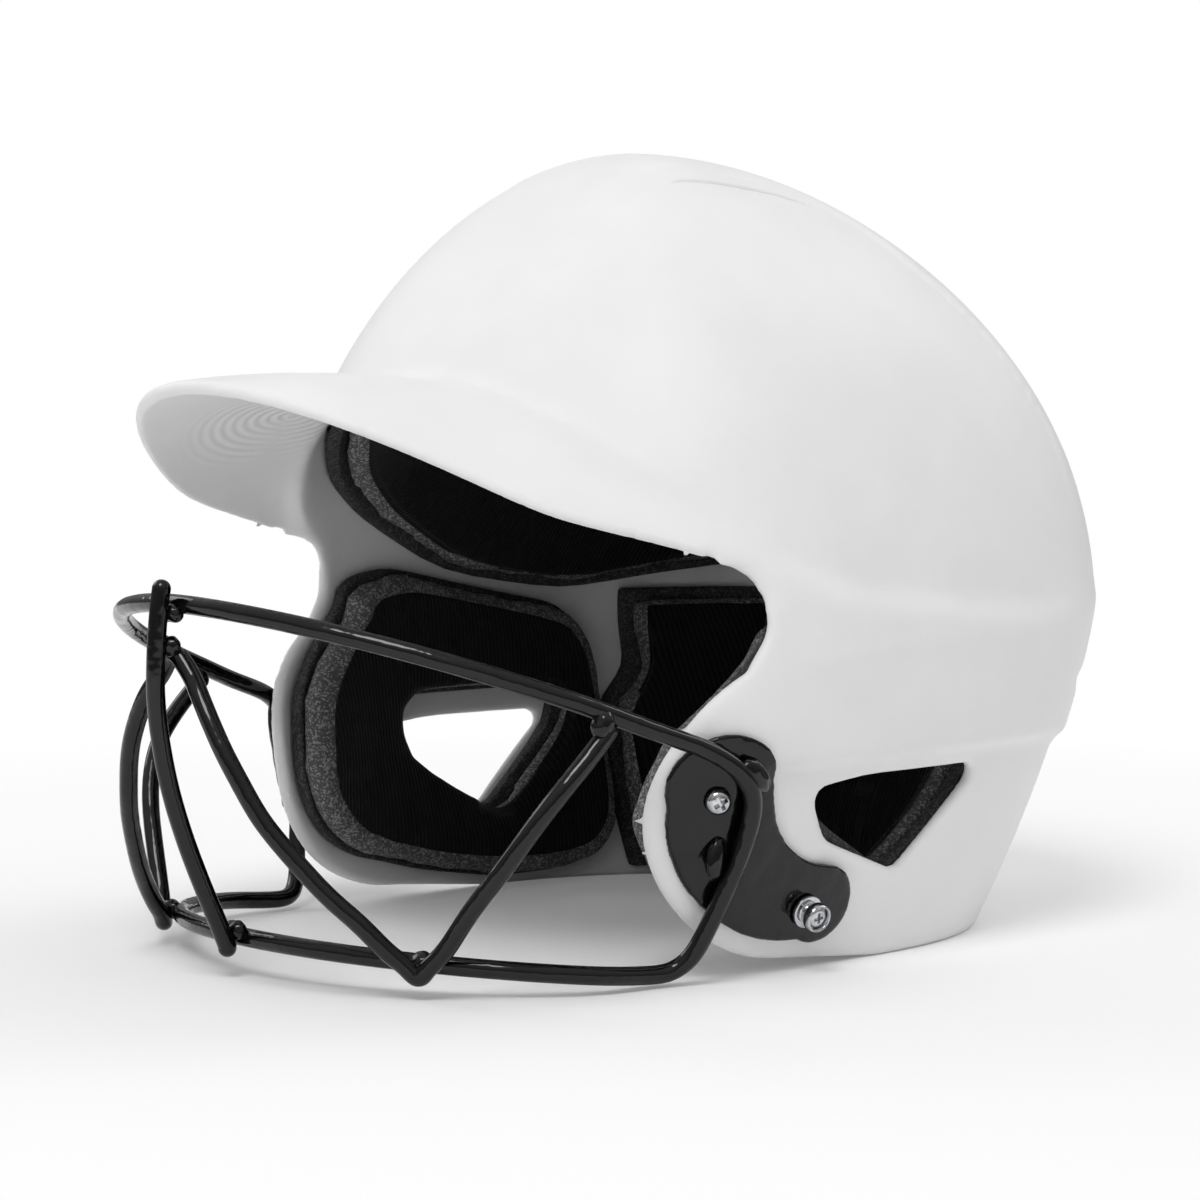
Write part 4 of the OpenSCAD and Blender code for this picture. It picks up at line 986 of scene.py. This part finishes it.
def recessed(bm, width, thick, floor_at, top, turns):
    """The head with a cross recess driven in, narrower at its floor."""
    head = shown(bm, "head")
    for turn in turns:
        blade = bmesh.new()
        bmesh.ops.create_cube(blade, size=1)
        for v in blade.verts:
            narrow = 0.55 if v.co.z < 0 else 1
            v.co = Vector((v.co.x * width * narrow, v.co.y * thick * narrow,
                           top if v.co.z > 0 else floor_at))
        bmesh.ops.rotate(blade, verts=blade.verts,
                         matrix=Matrix.Rotation(math.radians(turn), 3, "Z"))
        bit = shown(blade, "bit")
        cut = head.modifiers.new("recess", "BOOLEAN")
        cut.object, cut.operation, cut.solver = bit, "DIFFERENCE", "EXACT"
    done = applied(head)
    for bit in [o for o in bpy.data.objects if o.name.startswith("bit")]:
        bpy.data.objects.remove(bit)
    return done


def fastened(bm, name, node, where, sign):
    """A fastener set on the skin at its place seen from the side."""
    bmesh.ops.transform(bm, matrix=on_skin(*where, sign), verts=bm.verts)
    if sign < 0:
        bmesh.ops.reverse_faces(bm, faces=bm.faces)
    piece = shown(bm, name)
    piece.data.materials.append(BRIGHT)
    piece.data.set_sharp_from_angle(angle=math.radians(38))
    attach(piece, "root")
    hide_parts(node)


SCREW_AT, STUD_AT = (6, 51.5), (39.5, 18.5)
# Half profiles of (radius, height over the skin)
PAN_HEAD = [(0, 5.75), (1.3, 5.7), (2.2, 5.5), (3.0, 5.02), (3.5, 4.35), (3.68, 3.7), (3.7, 3.3),
            (3.55, 3.12), (2.1, 3.1), (2.1, -8.2), (0, -8.2)]
STUD = [(2.3, 3.1), (4.5, 3.1), (4.75, 3.3), (4.8, 3.7), (4.7, 4.1), (4.4, 4.28), (3.3, 4.4),
        (3.02, 4.7), (3.0, 6.1), (3.3, 6.45), (3.85, 6.55), (4.08, 6.9), (4.1, 7.9), (4.05, 8.8),
        (3.85, 9.3), (3.6, 9.48), (3.4, 9.4), (3.22, 9.1), (3.2, 7.5), (2.3, 7.5), (2.3, 3.1)]
STUD_SCREW = [(0, 8.9), (1.8, 8.88), (2.5, 8.7), (2.85, 8.3), (2.9, 7.6), (2.1, 7.6), (2.1, -8.2),
              (0, -8.2)]
# Cross recesses: width, thickness, floor and top of the driver's blades, and their turns
PAN_RECESS = (4.9, 1.35, 3.9, 6.4, (30, 120))
STUD_RECESS = (3.9, 1.15, 7.9, 9.4, (10, 100))
for side, sign in (("left", 1), ("right", -1)):
    fastened(recessed(turned(PAN_HEAD), *PAN_RECESS), f"plate_screw_{side}_pan_head",
             f"plate_screw_{side}", SCREW_AT, sign)
    fastened(turned(STUD), f"strap_stud_{side}_cap", f"strap_stud_{side}", STUD_AT, sign)
    fastened(recessed(turned(STUD_SCREW), *STUD_RECESS), f"stud_screw_{side}_head",
             f"stud_screw_{side}", STUD_AT, sign)
    for height in ("upper", "lower"):
        nut = frame["nodes"][f"nut_{height}_{side}"]
        nut.data.materials.clear()
        nut.data.materials.append(BRIGHT)


# Stage: a pale studio floor that runs out to white, a wide soft key from above and two fills.

floor_bm = bmesh.new()
bmesh.ops.create_grid(floor_bm, x_segments=2, y_segments=2, size=6)
floor = shown(floor_bm, "studio_floor")
pale = new_material("studio_floor")
spot = add(pale, "ShaderNodeTexCoord", {}).outputs["Object"]
far = add(pale, "ShaderNodeVectorMath", {0: spot}, operation="LENGTH").outputs["Value"]
# The camera sees the floor glow white from this far off, in metres
GLOW_FROM, GLOW_FULL = 0.2, 0.55
# Nearer in, 12 per cent of the glow stays: a painted light that lightens the helmet's shadow on the
# floor for the camera.
fade = add(pale, "ShaderNodeMapRange", {"Value": far, "From Min": GLOW_FROM, "From Max": GLOW_FULL,
                                        "To Min": 0.12}).outputs["Result"]
seen = add(pale, "ShaderNodeLightPath", {}).outputs["Is Camera Ray"]
fade = add(pale, "ShaderNodeMath", {0: fade, 1: seen}, operation="MULTIPLY").outputs[0]
matt = add(pale, "ShaderNodeBsdfDiffuse", {"Color": linear("#fcfcfc")}).outputs[0]
glow = add(pale, "ShaderNodeEmission", {"Color": (1, 1, 1, 1), "Strength": 1}).outputs[0]
finish(pale, add(pale, "ShaderNodeMixShader", {0: fade, 1: matt, 2: glow}))
floor.data.materials.append(pale)

world = bpy.data.worlds.new("studio")
bpy.context.scene.world = world
world.use_nodes = True
world.node_tree.nodes.clear()
ray = add(world, "ShaderNodeLightPath", {})
way = add(world, "ShaderNodeTexCoord", {}).outputs["Generated"]
high = add(world, "ShaderNodeSeparateXYZ", {"Vector": way}).outputs["Z"]
dome = add(world, "ShaderNodeMapRange", {"Value": high, "From Min": -0.1, "From Max": 0.75,
                                         "To Min": 0.16, "To Max": 0.58},
           interpolation_type="SMOOTHSTEP").outputs["Result"]
plain = add(world, "ShaderNodeMixRGB", {"Fac": ray.outputs["Is Camera Ray"], "Color1": dome,
                                        "Color2": (1, 1, 1, 1)}).outputs["Color"]
sky = add(world, "ShaderNodeBackground", {"Color": plain, "Strength": 1})
add(world, "ShaderNodeOutputWorld", {"Surface": sky.outputs[0]})


def soft_box(name, position, aim, size, power):
    """A round soft lamp of a size in metres and a power in watts."""
    lamp = bpy.data.lights.new(name, "AREA")
    lamp.shape, lamp.size, lamp.energy = "DISK", size, power
    obj = bpy.data.objects.new(name, lamp)
    bpy.context.scene.collection.objects.link(obj)
    obj.location = position
    obj.rotation_euler = (Vector(position) - Vector(aim)).to_track_quat("Z", "Y").to_euler()


soft_box("key", (0.7, -1.1, 1.9), (0, 0, 0.1), 1.0, 20)
soft_box("fill", (-1.6, -0.4, 1.0), (0, 0, 0.1), 1.0, 5)
soft_box("back", (0.2, 1.6, 1.4), (0, 0, 0.15), 1.0, 6)

camera = bpy.data.objects.new("camera", bpy.data.cameras.new("camera"))
bpy.context.scene.collection.objects.link(camera)
camera.data.lens, camera.data.sensor_width = 108, 36
camera.location = (0.8122, -0.6921, 0.1741)
camera.rotation_euler = (math.radians(85.921), 0, math.radians(49.591))
camera.data.clip_start, camera.data.clip_end = 0.05, 50
bpy.context.scene.camera = camera
bpy.context.scene.view_settings.view_transform = "Standard"
